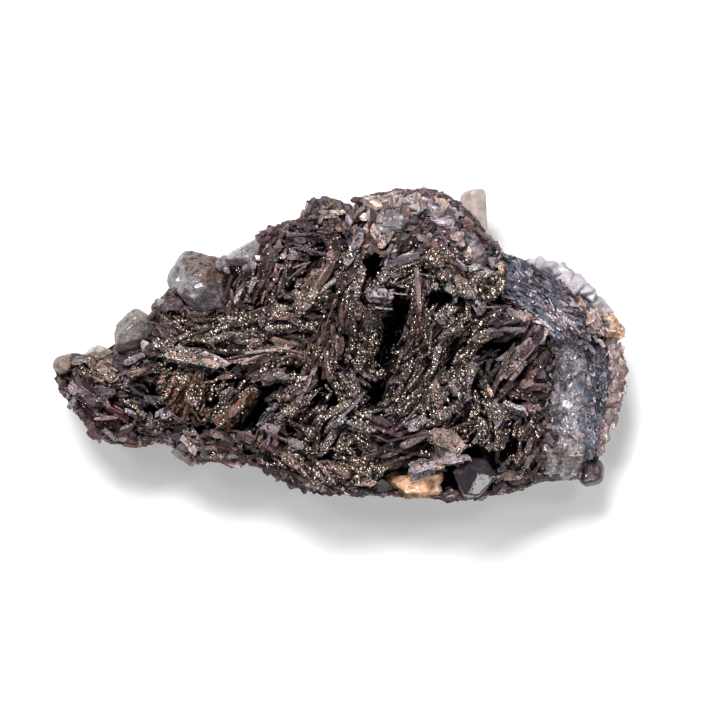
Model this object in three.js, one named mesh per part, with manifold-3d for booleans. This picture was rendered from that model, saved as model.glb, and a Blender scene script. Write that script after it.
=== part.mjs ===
// A cabinet specimen of calcite, barite and pyrite, lying on its back on the flat break of its matrix rock.
// A crust of bladed barite covers the rock, and blocky calcite crystals sit in it and along its edge.
// Millimetres, +Z up. The crystal face looks up, +X runs along the specimen to its thick end, and the
// origin is the middle of the flat break that it rests on.
import * as THREE from "three";
import { mergeVertices } from "three/addons/utils/BufferGeometryUtils.js";
import Module from "manifold-3d";

const wasm = await Module();
wasm.setup();

// Driving dimensions
const SEAT_GAP = 0.3; // between a crystal and the socket that it grew in
const ROCK_RIM_HEIGHT = 11; // the widest level of the matrix rock
const ROCK_TOP_HEIGHT = 15.5;
const CRUST_RIM_HEIGHT = 13.5; // the widest level of the barite crust
const CRUST_TOP_HEIGHT = 22.5;
const TAIL_START = -20; // west of this the crust sinks towards the thin end
const TAIL_SLOPE = 0.11; // millimetres down for each millimetre along
const BLADE_WIDTH = 6; // a barite plate's width, measured down into the crust
const BLADE_THICKNESS = 1.9;
const BLADE_RISE = 1.6; // how far a plate's middle stands above the crust
const BLADE_SPACING = 2.3; // between neighbouring plates of one spray
const SHOULDER = { x: 37, spread: 7, rise: 5.5 }; // the bare rock swells beside the crust's thick end
const ROCK_CHIP = 0.45; // how far the corners of a broken surface stray
const CRUST_CHIP = 0.4;
const CREVICE_MOUTH = 8; // a crevice's cutter reaches this far above the crust
const CREVICE_TAPER = 0.44; // its width at the bottom, as a share of its mouth
const CORNER_CUTS = 9; // planes that cleave the corners of a calcite block
const BLOCK_LEAN = 0.16; // sideways lean of a block for each millimetre of its height

// Outlines, counter-clockwise from the thin end, seen from above
const ROCK_OUTLINE = [
  [-52.5, -3], [-47.5, -11.5], [-40, -15.8], [-34, -14.8], [-27.5, -18.5], [-16, -19.2], [-8.5, -23.5],
  [6, -25], [22, -25.5], [34, -23.4], [44, -22.5], [45.5, -19], [44.8, -15.5], [47, -12], [48.6, -7],
  [50, -2.5], [48.8, 2], [49.6, 5.5], [47.2, 8], [42.5, 11.8], [37.8, 15], [33, 17.2], [27, 19.2],
  [19.5, 26.6], [10, 28.6], [-4.5, 27], [-15, 21.8], [-24, 17.2], [-30, 16.5], [-36, 7.8], [-45, 0.8],
  [-50, -0.5],
];
const CRUST_OUTLINE = [
  [-54.2, -2.2], [-52.4, -6.4], [-49.1, -11.1], [-46, -15.3], [-42.5, -15.8], [-39, -16.8],
  [-33.6, -15.6], [-31.5, -17.4], [-28, -19.6], [-23.5, -19], [-16.8, -20.2], [-13.6, -21.8],
  [-9.5, -24.2], [-3.6, -25.4], [5.5, -25.6], [14.5, -26], [21.8, -26.3], [27.3, -25.4], [32, -24],
  [35.8, -22], [36.5, -17], [35.4, -11], [36.8, -5], [38, 0.5], [36.4, 4.6], [32.4, 8], [29.5, 12],
  [28.2, 16.5], [26.6, 20], [23.3, 24], [20.3, 27], [17.6, 29], [12.7, 30], [7, 29.7], [1.4, 28.6],
  [0.4, 26.2], [-1.7, 28], [-4.6, 28.5], [-7.7, 28], [-8.5, 25], [-12.7, 23.7], [-15.8, 22.3],
  [-17.5, 19], [-21.5, 16], [-23, 12.5], [-23.5, 8.4], [-27, 6.8], [-31, 8.3], [-35, 8.8], [-36.6, 5],
  [-38.6, 0.8], [-42, -1.4], [-46, -0.2], [-50, 0], [-53.3, -0.4],
];
const ROCK_SPINE = [[-38, -6], [30, -1]];
const CRUST_SPINE = [[-40, -7], [24, 1]];

// Levels of a rock from its foot to its top: inset is the share of the way from the outline to the spine.
const ROCK_LEVELS = [
  { inset: 0.45, z: 0 }, { inset: 0.16, z: 3 }, { inset: 0, z: ROCK_RIM_HEIGHT }, { inset: 0.07, z: 14 },
  { inset: 0.3, z: 15 }, { inset: 0.7, z: ROCK_TOP_HEIGHT },
];
const CRUST_LEVELS = [
  { inset: 0.12, z: 9 }, { inset: 0, z: CRUST_RIM_HEIGHT }, { inset: 0.07, z: 17.5 },
  { inset: 0.28, z: 20.8 }, { inset: 0.62, z: CRUST_TOP_HEIGHT },
];

// Sprays of barite plates: x, y, heading in degrees, plate length, plates side by side
const SPRAYS = [
  // thin end
  [-46.4, -3.1, -45, 6.5, 1], [-48.2, -7.3, -46, 7.3, 1], [-43.6, -10.7, -25, 8.4, 1],
  [-44.2, -6.5, 20, 3.6, 1], [-38.5, -1.3, 25, 7.6, 1], [-38.2, -8.2, -30, 5.1, 1],
  [-34.5, -12.5, -12, 5.8, 1], [-28.7, -16.5, -52, 5.5, 1],
  // flat-lying band
  [-33.6, 3.6, -20, 7.6, 1], [-27.8, -0.5, -11, 10.2, 1], [-26.4, 4.5, 10, 8.4, 1],
  [-17.3, 4.2, 4, 11.3, 3], [-14.5, 0.5, 2, 12.7, 2], [-29.5, -6.7, 62, 6.9, 1],
  [-20.7, -9.1, 50, 9.5, 2], [-14.5, -4.2, 25, 5.8, 1], [-22.2, -17.6, -8, 8.7, 2],
  [-14.9, -12.7, 55, 5.8, 1],
  // upper edge
  [-20.7, 12.5, 60, 6.5, 1], [-14, 13.6, 72, 7.6, 1], [-13.8, 19.8, 76, 5.8, 1],
  [-8, 20.9, -18, 7.6, 1], [-5.1, 25.6, 88, 4.7, 1], [-2.2, 21.6, -62, 5.5, 1],
  [-5.3, 12.9, 63, 10.9, 1], [0.4, 18.7, 68, 9.1, 2], [0, 11.8, 76, 8.4, 1], [-9.5, 7.8, -6, 8.4, 1],
  // either side of the long crevice
  [6.2, 19.8, 74, 9.8, 2], [10, 16.7, 16, 6.2, 1], [1.1, 3.5, 82, 10.9, 3], [-3.6, 1.6, 86, 9.1, 2],
  [12.2, 8.5, 88, 11.3, 2], [4.9, 11.3, 10, 5.1, 1],
  // thick end
  [20.4, 13.3, -55, 9.5, 2], [17.5, 16.9, -30, 6.5, 1], [23.3, 15.8, 32, 6.5, 1],
  [25.8, 13.6, 70, 6.9, 1], [15.6, 6.4, 50, 7.6, 1], [12.7, -0.2, 52, 11.3, 3], [19.3, 2, 50, 10.5, 2],
  [25.8, 4.5, 12, 8.4, 1], [30.9, -0.9, 52, 14.2, 3], [35.6, -0.5, 56, 9.5, 2], [32, 7.1, 5, 4.4, 1],
  [33.8, -7.1, -5, 9.5, 2], [15.8, -6.7, 86, 5.8, 1], [20.4, -6, -62, 6.9, 1],
  [25.8, -12.9, 84, 9.8, 2], [30.9, -9.3, -20, 6.9, 1],
  // lower edge
  [0.4, -6.7, -58, 6.2, 1], [-0.7, -11.8, 46, 10.5, 2], [3.6, -14, -25, 8.7, 2],
  [9.5, -11.8, 36, 9.1, 2], [13.8, -16.5, 22, 14.2, 2], [16.4, -19.8, 15, 11.3, 1],
  [4.7, -19.5, 20, 9.5, 2], [-5.5, -12.5, 60, 7.6, 1], [-9.1, -7.5, 45, 6.9, 1],
  [-11.3, -15.5, -30, 7.6, 1], [-7.3, -20.9, -45, 8.7, 2], [0.4, -22, -10, 7.6, 1],
  [30.9, -15.8, 60, 6.9, 1], [27.3, -23.5, -5, 8.4, 1],
  // shoulder
  [16.4, 25.3, -46, 8, 2], [12.7, 27.8, 10, 6.9, 1], [6.5, 27.6, 15, 8.7, 2], [14.5, 19.8, 60, 6.9, 1],
  [22.2, 21.6, -50, 8, 2], [9.5, -5.6, 55, 6.9, 1],
];

// Open crevices between the sprays: x, y, heading in degrees, length, width, depth below the crust
const CREVICES = [
  [4.2, 16.9, 80, 10, 3, 9], [7.6, 4.5, 72, 15, 4.2, 12], [-1.1, 0.9, 85, 8, 1.6, 7],
  [4, -7.3, 40, 6, 4, 9], [-4, -10.9, 70, 9, 2, 8], [-16.7, -10, 60, 10, 3, 9],
  [-20.9, -14.9, 5, 8, 2, 7], [20.9, -15.5, -60, 9, 2.6, 10], [28.7, 0.9, 40, 8, 3, 9],
  [28.7, -16.7, 10, 6, 3, 8], [16.4, 10, 0, 6.5, 2.2, 7], [-27.3, -13.6, 0, 6, 2.2, 6],
];

// Calcite blocks: place, half sizes, turn about +Z and tip about the turned +X, in degrees
const UPPER_LEFT_BLOCK = { at: [-26.9, 12.7, 15], half: [6.3, 5.8, 6.4], turn: -14, tip: 8, seed: 3 };
const UPPER_LEFT_SLIVER = { at: [-19.2, 18.2, 17], half: [3.4, 1.5, 4], turn: 30, tip: 10, seed: 12 };
const LEFT_BLOCK = { at: [-39.6, 4.2, 13.5], half: [3.3, 4.2, 5], turn: -24, tip: -6, seed: 21 };
const LEFT_LEDGE = { at: [-45.6, 0.6, 12.6], half: [2.7, 1.5, 3], turn: 30, tip: 0, seed: 31 };
const TIP_KNOB = { at: [-52.2, -1.7, 14.6], half: [1.9, 1.8, 2.4], turn: 15, tip: 0, seed: 44 };
const TOP_BLOCK = { at: [7.4, 23.9, 20.6], half: [3, 2.8, 3.6], turn: 22, tip: -14, seed: 52 };
const LOWER_RIGHT_LUMP = { at: [44, -21.2, 9.6], half: [2.6, 2.9, 3.2], turn: 12, tip: 0, seed: 63 };
const ORANGE_BLOCK = { at: [11.4, -23.5, 15.6], half: [5, 2.5, 3.4], turn: 2, tip: 12, seed: 71 };
const ORANGE_LUMP = { at: [46.2, 5.9, 12], half: [3.8, 2.6, 3.6], turn: -24, tip: 0, seed: 82 };
const CHIP = { at: [-29.6, -17.7, 12.8], half: [2.5, 1.9, 2.6], turn: -32, tip: 0, seed: 91 };
const RUST_CHIP = { at: [-39.2, -15.7, 11.8], half: [2.6, 1.3, 2], turn: 4, tip: 0, seed: 102 };
const DARK_CRYSTAL = { at: [22.2, -21.6, 19.6], half: [3.5, 3.4, 4], turn: 40, tip: 18, seed: 114 };

// Calcite grown as one row of lumps: x, y, z and the lump's radius
const WHITE_RIM = [
  [32, 17.2, 12.6, 2.1], [35.7, 15.9, 12.6, 2.3], [40.2, 13.2, 13, 3], [43.3, 10.6, 12.6, 1.8],
];
const PINK_RIM = [
  [47.4, 0, 11.8, 2.4], [48.6, -4.1, 11.2, 2.6], [47.9, -8.5, 11, 2.5], [46.5, -12.5, 10.7, 2.3],
  [44.7, -15.7, 10.8, 1.9],
];
const RIGHT_MASS = [
  [41.4, -0.6, 16, 3.7], [40.2, -7.6, 16.6, 4.6], [40.8, -15.4, 15.6, 4.3], [36.4, -20.6, 14.6, 3],
];

// The pale prism that stands out past the upper edge, under the crust
const PRISM = { at: [22.7, 24.2, 9.6], radius: 2.6, length: 13, turn: 3, taper: 1.08 };

const FINISH = {
  rock: { color: 0x6f7078, roughness: 0.85, metalness: 0 },
  barite: { color: 0x6b5a54, roughness: 0.6, metalness: 0.1 },
  greyCalcite: { color: 0x9a9494, roughness: 0.3, metalness: 0 },
  whiteCalcite: { color: 0xcfc4c4, roughness: 0.4, metalness: 0 },
  pinkCalcite: { color: 0xc4b0aa, roughness: 0.5, metalness: 0 },
  orangeCalcite: { color: 0xc8945c, roughness: 0.6, metalness: 0 },
  darkCrystal: { color: 0x2c2a30, roughness: 0.15, metalness: 0.3 },
};

// A repeatable number from 0 to 1 for each index and channel: the fraction of a steep sine wave.
function scatter(index, channel) {
  const wave = Math.sin(index * 127.1 + channel * 311.7) * 43758.5453;
  return wave - Math.floor(wave);
}

// A repeatable number between -spread and +spread.
function vary(index, channel, spread) {
  return (2 * scatter(index, channel) - 1) * spread;
}

function solidOf(geometry) {
  const bare = new THREE.BufferGeometry().setAttribute("position", geometry.getAttribute("position"));
  bare.setIndex(geometry.index);
  const merged = mergeVertices(bare, 1e-4);
  return new wasm.Manifold(
    new wasm.Mesh({
      numProp: 3,
      vertProperties: new Float32Array(merged.attributes.position.array),
      triVerts: new Uint32Array(merged.index.array),
    }),
  );
}

function geometryOf(solid) {
  const { vertProperties, triVerts } = solid.getMesh();
  const shared = new THREE.BufferGeometry();
  shared.setAttribute("position", new THREE.BufferAttribute(new Float32Array(vertProperties), 3));
  shared.setIndex(new THREE.BufferAttribute(new Uint32Array(triVerts), 1));
  const faceted = shared.toNonIndexed();
  faceted.computeVertexNormals();
  return faceted;
}

// The largest closed body of a solid: crumbs that a cut leaves loose fall away.
function mainBody(solid) {
  return solid.decompose().reduce((best, body) => (body.volume() > best.volume() ? body : best));
}

function join(solids) {
  return solids.reduce((whole, solid) => whole.add(solid));
}

function nearestOnSpine([x, y], [[ax, ay], [bx, by]]) {
  const along = ((x - ax) * (bx - ax) + (y - ay) * (by - ay)) / ((bx - ax) ** 2 + (by - ay) ** 2);
  const share = THREE.MathUtils.clamp(along, 0, 1);
  return [ax + (bx - ax) * share, ay + (by - ay) * share];
}

// A broken rock: its outline drawn in towards the spine at each level, capped flat at the foot and the top.
// A grown rock keeps the same triangles, with every corner moved outwards.
function loftRock({ outline, spine, levels, lift, chip, seed }, grow = 0) {
  const count = outline.length;
  const top = levels.length - 1;
  const cornerAt = (level, i, grown) => {
    const { inset, z } = levels[level];
    const middle = nearestOnSpine(outline[i], spine);
    const reach = Math.hypot(outline[i][0] - middle[0], outline[i][1] - middle[1]);
    const rough = level === 0 || level === top ? 0 : chip;
    const share = 1 - inset + (grown + vary(seed + i, level, rough)) / reach;
    const x = middle[0] + (outline[i][0] - middle[0]) * share;
    const y = middle[1] + (outline[i][1] - middle[1]) * share;
    const raise = level === 0 ? -grown : lift(x, z) + grown + vary(seed + i, level + 20, rough);
    return new THREE.Vector3(x, y, z + raise);
  };
  const points = [];
  const index = [];
  for (let level = 0; level <= top; level++) {
    for (let i = 0; i < count; i++) {
      points.push(cornerAt(level, i, grow));
    }
  }
  for (let level = 0; level < top; level++) {
    for (let i = 0; i < count; i++) {
      const a = level * count + i;
      const b = level * count + ((i + 1) % count);
      index.push(a, b, b + count, a, b + count, a + count);
    }
  }
  const cap = (level) => {
    const ring = outline.map((_, i) => cornerAt(level, i, 0)).map(({ x, y }) => new THREE.Vector2(x, y));
    return THREE.ShapeUtils.triangulateShape(ring, []);
  };
  cap(0).forEach(([a, b, c]) => index.push(c, b, a));
  cap(top).forEach((tri) => index.push(...tri.map((i) => top * count + i)));
  const geometry = new THREE.BufferGeometry().setFromPoints(points);
  geometry.setIndex(index);
  return solidOf(geometry);
}

// Lifts raise or lower the upper levels of a rock at a place along it.
function rockLift(x, z) {
  const shoulder = SHOULDER.rise * Math.exp(-(((x - SHOULDER.x) / SHOULDER.spread) ** 2));
  return z > ROCK_RIM_HEIGHT + 1 ? shoulder : 0;
}

function crustLift(x, z) {
  const tail = Math.max(0, TAIL_START - x) * TAIL_SLOPE;
  return z > CRUST_RIM_HEIGHT - 1 ? -tail : 0;
}

// The level of the crust that the sprays and crevices are set at.
function crustHeight(x) {
  return CRUST_TOP_HEIGHT - 1 + crustLift(x, CRUST_TOP_HEIGHT);
}

// Turns and places a geometry whose X runs along a heading and climbs at a pitch, rolled about itself.
function place(geometry, { at, heading, pitch, roll }) {
  const turn = new THREE.Euler(
    THREE.MathUtils.degToRad(roll),
    THREE.MathUtils.degToRad(-pitch),
    THREE.MathUtils.degToRad(heading),
    "ZYX",
  );
  const matrix = new THREE.Matrix4().makeRotationFromEuler(turn).setPosition(...at);
  return geometry.applyMatrix4(matrix);
}

// One barite plate: a lath with chisel ends, its length along X, its width along Z, its thickness along Y.
function bladeGeometry(length, width, thickness) {
  const half = length / 2;
  const lath = new THREE.Shape([
    new THREE.Vector2(-half, -width / 2),
    new THREE.Vector2(half, -width / 2),
    new THREE.Vector2(half * 0.72, width / 2),
    new THREE.Vector2(-half * 0.84, width / 2),
  ]);
  const plate = new THREE.ExtrudeGeometry(lath, { depth: thickness, bevelEnabled: false });
  return plate.translate(0, 0, -thickness / 2).rotateX(Math.PI / 2);
}

// The plates of one spray stand side by side across its heading, nearly parallel, each a little shifted.
function sprayBlades([x, y, heading, length, plates], spray) {
  const radians = THREE.MathUtils.degToRad(heading);
  const pitch = 6 + vary(spray, 8, 12);
  const roll = vary(spray, 9, 40);
  return Array.from({ length: plates }, (_, plate) => {
    const index = 100 + spray * 8 + plate;
    const across = (plate - (plates - 1) / 2) * BLADE_SPACING + vary(index, 1, 0.2);
    const along = vary(index, 2, 0.12 * length);
    const px = x + Math.cos(radians) * along - Math.sin(radians) * across;
    const py = y + Math.sin(radians) * along + Math.cos(radians) * across;
    const width = BLADE_WIDTH * (0.85 + 0.3 * scatter(index, 4));
    const size = length * (0.85 + 0.3 * scatter(index, 5));
    const thickness = BLADE_THICKNESS * (0.75 + 0.4 * scatter(index, 6));
    const z = crustHeight(px) + BLADE_RISE + vary(index, 7, 0.9) - width * 0.25;
    const pose = {
      at: [px, py, z],
      heading: heading + vary(index, 3, 4),
      pitch,
      roll: roll + vary(index, 10, 5),
    };
    return solidOf(place(bladeGeometry(size, width, thickness), pose));
  });
}

// An open crevice is cut by a wedge that narrows downwards.
function crevice([x, y, heading, length, width, depth]) {
  const wedge = new THREE.CylinderGeometry(0.5, 0.5 * CREVICE_TAPER, depth + CREVICE_MOUTH, 6);
  wedge.rotateX(Math.PI / 2).scale(length, width, 1);
  const z = crustHeight(x) + (CREVICE_MOUTH - depth) / 2;
  return solidOf(place(wedge, { at: [x, y, z], heading, pitch: 0, roll: 0 }));
}

// A cleaved calcite block: a leaning box whose corners are cut by planes in spread directions.
function blockSolid(half, seed, grow = 0) {
  const box = new THREE.BoxGeometry(...half.map((h) => 2 * (h + grow)));
  box.applyMatrix4(new THREE.Matrix4().makeShear(0, 0, BLOCK_LEAN, 0, 0, 0));
  let solid = solidOf(box);
  for (let cut = 0; cut < CORNER_CUTS; cut++) {
    const up = 1 - (2 * (cut + 0.5)) / CORNER_CUTS;
    const around = cut * Math.PI * (3 - Math.sqrt(5)) + vary(seed, cut, 0.5);
    const level = Math.sqrt(1 - up * up);
    const normal = [level * Math.cos(around), level * Math.sin(around), up];
    const corner = Math.hypot(...normal.map((n, axis) => n * half[axis]));
    const distance = corner * (0.93 + vary(seed, cut + 30, 0.1)) + grow;
    solid = solid.trimByPlane(normal.map((n) => -n), -distance);
  }
  return solid;
}

function placeSolid(solid, { at, turn = 0, tip = 0 }) {
  return solid.rotate([tip, 0, 0]).rotate([0, 0, turn]).translate(at);
}

// Each crystal is a function of how far it is grown, so that its socket is the same crystal a gap larger.
const block = (spec) => (grow) => placeSolid(blockSolid(spec.half, spec.seed, grow), spec);
const lumpRow = (row, seed) => (grow) => {
  const lumps = row.map(([x, y, z, radius], i) => {
    const half = [0, 1, 2].map((axis) => radius * (1.05 + vary(seed + i, axis, 0.12)));
    return placeSolid(blockSolid(half, seed + i, grow), { at: [x, y, z], turn: 360 * scatter(seed + i, 3) });
  });
  return join(lumps);
};
const prism = ({ at, radius, length, turn, taper }) => (grow) => {
  const column = new THREE.CylinderGeometry(radius * taper + grow, radius + grow, length + 2 * grow, 6);
  const cut = solidOf(column).trimByPlane([0.25, -1, 0.35], -(length / 2 - 0.6 + grow));
  return placeSolid(cut, { at, turn });
};

const CRYSTALS = [
  ["calcite_upper_left", block(UPPER_LEFT_BLOCK), FINISH.greyCalcite],
  ["calcite_sliver", block(UPPER_LEFT_SLIVER), FINISH.greyCalcite],
  ["calcite_left", block(LEFT_BLOCK), FINISH.greyCalcite],
  ["calcite_ledge", block(LEFT_LEDGE), FINISH.greyCalcite],
  ["calcite_tip", block(TIP_KNOB), FINISH.greyCalcite],
  ["calcite_top", block(TOP_BLOCK), FINISH.greyCalcite],
  ["calcite_right_mass", lumpRow(RIGHT_MASS, 130), FINISH.greyCalcite],
  ["calcite_lower_right", block(LOWER_RIGHT_LUMP), FINISH.pinkCalcite],
  ["calcite_white_rim", lumpRow(WHITE_RIM, 150), FINISH.whiteCalcite],
  ["calcite_pink_rim", lumpRow(PINK_RIM, 170), FINISH.pinkCalcite],
  ["calcite_prism", prism(PRISM), FINISH.whiteCalcite],
  ["calcite_chip", block(CHIP), FINISH.pinkCalcite],
  ["orange_calcite_block", block(ORANGE_BLOCK), FINISH.orangeCalcite],
  ["orange_calcite_lump", block(ORANGE_LUMP), FINISH.orangeCalcite],
  ["orange_calcite_chip", block(RUST_CHIP), FINISH.orangeCalcite],
  ["dark_crystal", block(DARK_CRYSTAL), FINISH.darkCrystal],
];

function namedMesh(name, solid, finish) {
  const mesh = new THREE.Mesh(geometryOf(solid), new THREE.MeshStandardMaterial(finish));
  mesh.name = name;
  return mesh;
}

const sockets = join(CRYSTALS.map(([, crystal]) => crystal(SEAT_GAP)));
const rockShape = {
  outline: ROCK_OUTLINE,
  spine: ROCK_SPINE,
  levels: ROCK_LEVELS,
  lift: rockLift,
  chip: ROCK_CHIP,
  seed: 500,
};
const crustShape = {
  outline: CRUST_OUTLINE,
  spine: CRUST_SPINE,
  levels: CRUST_LEVELS,
  lift: crustLift,
  chip: CRUST_CHIP,
  seed: 700,
};
const rock = loftRock(rockShape);
const rockWithGap = loftRock(rockShape, SEAT_GAP);
const bareCrust = loftRock(crustShape).subtract(join(CREVICES.map(crevice)));
const blades = join(SPRAYS.flatMap(sprayBlades));
const crust = bareCrust.add(blades).subtract(rockWithGap).subtract(sockets);

const specimen = new THREE.Group();
specimen.add(namedMesh("matrix_rock", mainBody(rock.subtract(sockets)), FINISH.rock));
specimen.add(namedMesh("barite_blades", mainBody(crust), FINISH.barite));

// Each crystal's own origin is its middle. Where two meet, the later one grew against the earlier one.
const crystals = new THREE.Group();
CRYSTALS.forEach(([name, crystal, finish], i) => {
  const older = CRYSTALS.slice(0, i).map(([, neighbour]) => neighbour(SEAT_GAP));
  const solid = older.reduce((whole, neighbour) => whole.subtract(neighbour), crystal(0));
  const mesh = namedMesh(name, mainBody(solid), finish);
  mesh.geometry.computeBoundingBox();
  mesh.geometry.boundingBox.getCenter(mesh.position);
  mesh.geometry.center();
  crystals.add(mesh);
});
specimen.add(crystals);

export default specimen;
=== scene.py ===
"""Looks of a calcite, barite and pyrite specimen that lies on its back, crystal face up.

Sizes are in millimetres and become metres where a mesh is made. +X runs along the specimen to its
thick end, +Y across it and +Z up out of the crystal face, as in the solids.
"""

from __future__ import annotations

import logging
from collections.abc import Iterable
from dataclasses import dataclass
from enum import Enum
from typing import Any, NamedTuple

import bpy
import numpy as np
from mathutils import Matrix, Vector


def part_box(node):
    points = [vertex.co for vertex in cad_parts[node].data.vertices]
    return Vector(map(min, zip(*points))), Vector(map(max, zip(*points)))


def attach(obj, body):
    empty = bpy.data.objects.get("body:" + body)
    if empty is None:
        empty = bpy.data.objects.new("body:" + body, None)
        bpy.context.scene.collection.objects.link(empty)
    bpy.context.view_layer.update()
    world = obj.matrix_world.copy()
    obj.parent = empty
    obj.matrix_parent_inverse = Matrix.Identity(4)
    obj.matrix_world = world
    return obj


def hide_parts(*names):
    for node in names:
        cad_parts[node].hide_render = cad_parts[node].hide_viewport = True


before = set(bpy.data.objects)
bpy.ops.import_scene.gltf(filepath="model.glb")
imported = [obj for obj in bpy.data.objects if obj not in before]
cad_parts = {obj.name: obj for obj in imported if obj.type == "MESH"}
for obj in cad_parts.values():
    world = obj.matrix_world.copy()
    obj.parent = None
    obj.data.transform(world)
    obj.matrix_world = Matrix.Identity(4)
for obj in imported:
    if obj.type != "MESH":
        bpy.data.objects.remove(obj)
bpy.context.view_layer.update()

Array = np.ndarray
Random = np.random.Generator
Rows = tuple[tuple[float, ...], ...]
Area = tuple[tuple[float, float], tuple[float, float]]
LOG = logging.getLogger("specimen")
MM = 0.001
IMAGE_PIXELS = 720
PIXELS_PER_MM = 5.5
SEED = 20
# Waves, seed step and gain of the sine whose fraction is the lattice's random number
HASH_WAVES = np.array([127.1, 311.7, 74.7])
HASH_STEP = 53.1
HASH_GAIN = 43758.5453


class Tone(Enum):
    """Colours of the minerals, as sRGB hex values."""

    # Near black: painted shade for the deep gaps and for the rock hidden under the crust
    SHADE_BLACK = "080403"
    DARK = "382a2a"
    BROWN = "6b5653"
    PLUM = "69545d"
    RED = "6c4b4a"
    RUST = "845e4b"
    TAN = "957d70"
    GREY = "827a7e"
    PALE = "b4a9aa"
    PINK = "997e7b"
    STEEL = "6f7687"
    SLATE = "676c7a"
    ICE = "c3bcc5"
    LILAC = "a39aa1"
    OLIVE = "948b87"
    ROSE = "bfaaa9"
    SAND = "c9b6ab"
    CHALK = "b9a9a3"
    CREAM = "dcb7a2"
    ORANGE = "c4976f"
    MAUVE = "a5939a"
    BRASS = "f6ebde"
    BRONZE = "6e5d4b"
    INK = "352e34"

    @property
    def light(self) -> Array:
        """The colour as linear light."""
        return linear(self.value)


def linear(code: str) -> Array:
    """Turns the six hex digits of an sRGB colour into linear red, green and blue from 0 to 1."""
    value = np.array([int(code[i : i + 2], 16) for i in (0, 2, 4)]) / 255
    return np.where(value <= 0.04045, value / 12.92, ((value + 0.055) / 1.055) ** 2.4)


def palette(tones: Iterable[Tone]) -> Array:
    """The linear colours of some tones, one to a row."""
    return np.array([tone.light for tone in tones])


def toned_rows(table: dict[Tone, Rows]) -> tuple[Array, Array]:
    """All the rows of a table by tone, and the linear colour of each row."""
    rows = np.array([row for group in table.values() for row in group])
    return rows, palette(tone for tone, group in table.items() for _ in group)


def blended(color: Array, other: Array, share: Array) -> Array:
    """A colour moved towards another by a share."""
    return color + share * (other - color)


def smooth(value: Array, low: float, high: float) -> Array:
    """A smooth step from 0 at low to 1 at high."""
    share = np.clip((value - low) / (high - low), 0, 1)
    return share * share * (3 - 2 * share)


def lattice_noise(points: Array, size: float, seed: int) -> Array:
    """Random numbers on a cubic lattice, blended by a smooth step along each axis.

    Args:
        points: places in millimetres, three to the last axis.
        size: lattice spacing in millimetres.
        seed: picks the lattice's numbers.

    Returns:
        Noise from -1 to 1 at each place.
    """
    scaled = points / size
    cell = np.floor(scaled)
    share = scaled - cell
    share = share * share * (3 - 2 * share)
    total = np.zeros(points.shape[:-1])
    for corner in np.ndindex(2, 2, 2):
        wave = np.sin((cell + corner) @ HASH_WAVES + HASH_STEP * seed) * HASH_GAIN
        weight = np.where(np.array(corner) == 1, share, 1 - share).prod(axis=-1)
        total += (wave - np.floor(wave)) * weight
    return 2 * total - 1


def rough_noise(points: Array, size: float, seed: int, octaves: int = 4) -> Array:
    """Sum of lattice noises, about -1 to 1, each half as large and half as strong as the one before."""
    layers = [lattice_noise(points, size / 2**k, seed + 7 * k) / 2**k for k in range(octaves)]
    return np.sum(layers, axis=0) / 1.5


def turned(x: Array, y: Array, heading: float) -> tuple[Array, Array]:
    """Places measured along and across a heading in degrees."""
    turn = np.radians(heading)
    return x * np.cos(turn) + y * np.sin(turn), y * np.cos(turn) - x * np.sin(turn)


def bell(x: Array, y: Array, middle: tuple[float, float], spread: tuple[float, float]) -> Array:
    """A bell curve exp(-(dx/a)^2 - (dy/b)^2) about a middle, for spreads a and b."""
    return np.exp(-(((x - middle[0]) / spread[0]) ** 2) - ((y - middle[1]) / spread[1]) ** 2)


def scattered(low: tuple[float, float], high: tuple[float, float], gap: float, rng: Random) -> Array:
    """Places on a square grid between two corners, each moved at random within its square."""
    grid = np.stack(np.meshgrid(*(np.arange(a, b + gap, gap) for a, b in zip(low, high))), axis=-1)
    return grid.reshape(-1, 2) + rng.uniform(-0.5, 0.5, (grid.size // 2, 2)) * gap


def flat(x: Array, y: Array) -> Array:
    """Places on the plane z = 0, for noise that depends on x and y alone."""
    return np.stack([x, y, np.zeros_like(x)], axis=-1)


def linked(name: str, data: bpy.types.ID) -> bpy.types.Object:
    """Makes an object and links it into the scene.

    Args:
        name: its name.
        data: its mesh, camera or light.

    Returns:
        The object.
    """
    item = bpy.data.objects.new(name, data)
    bpy.context.scene.collection.objects.link(item)
    return item


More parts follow.
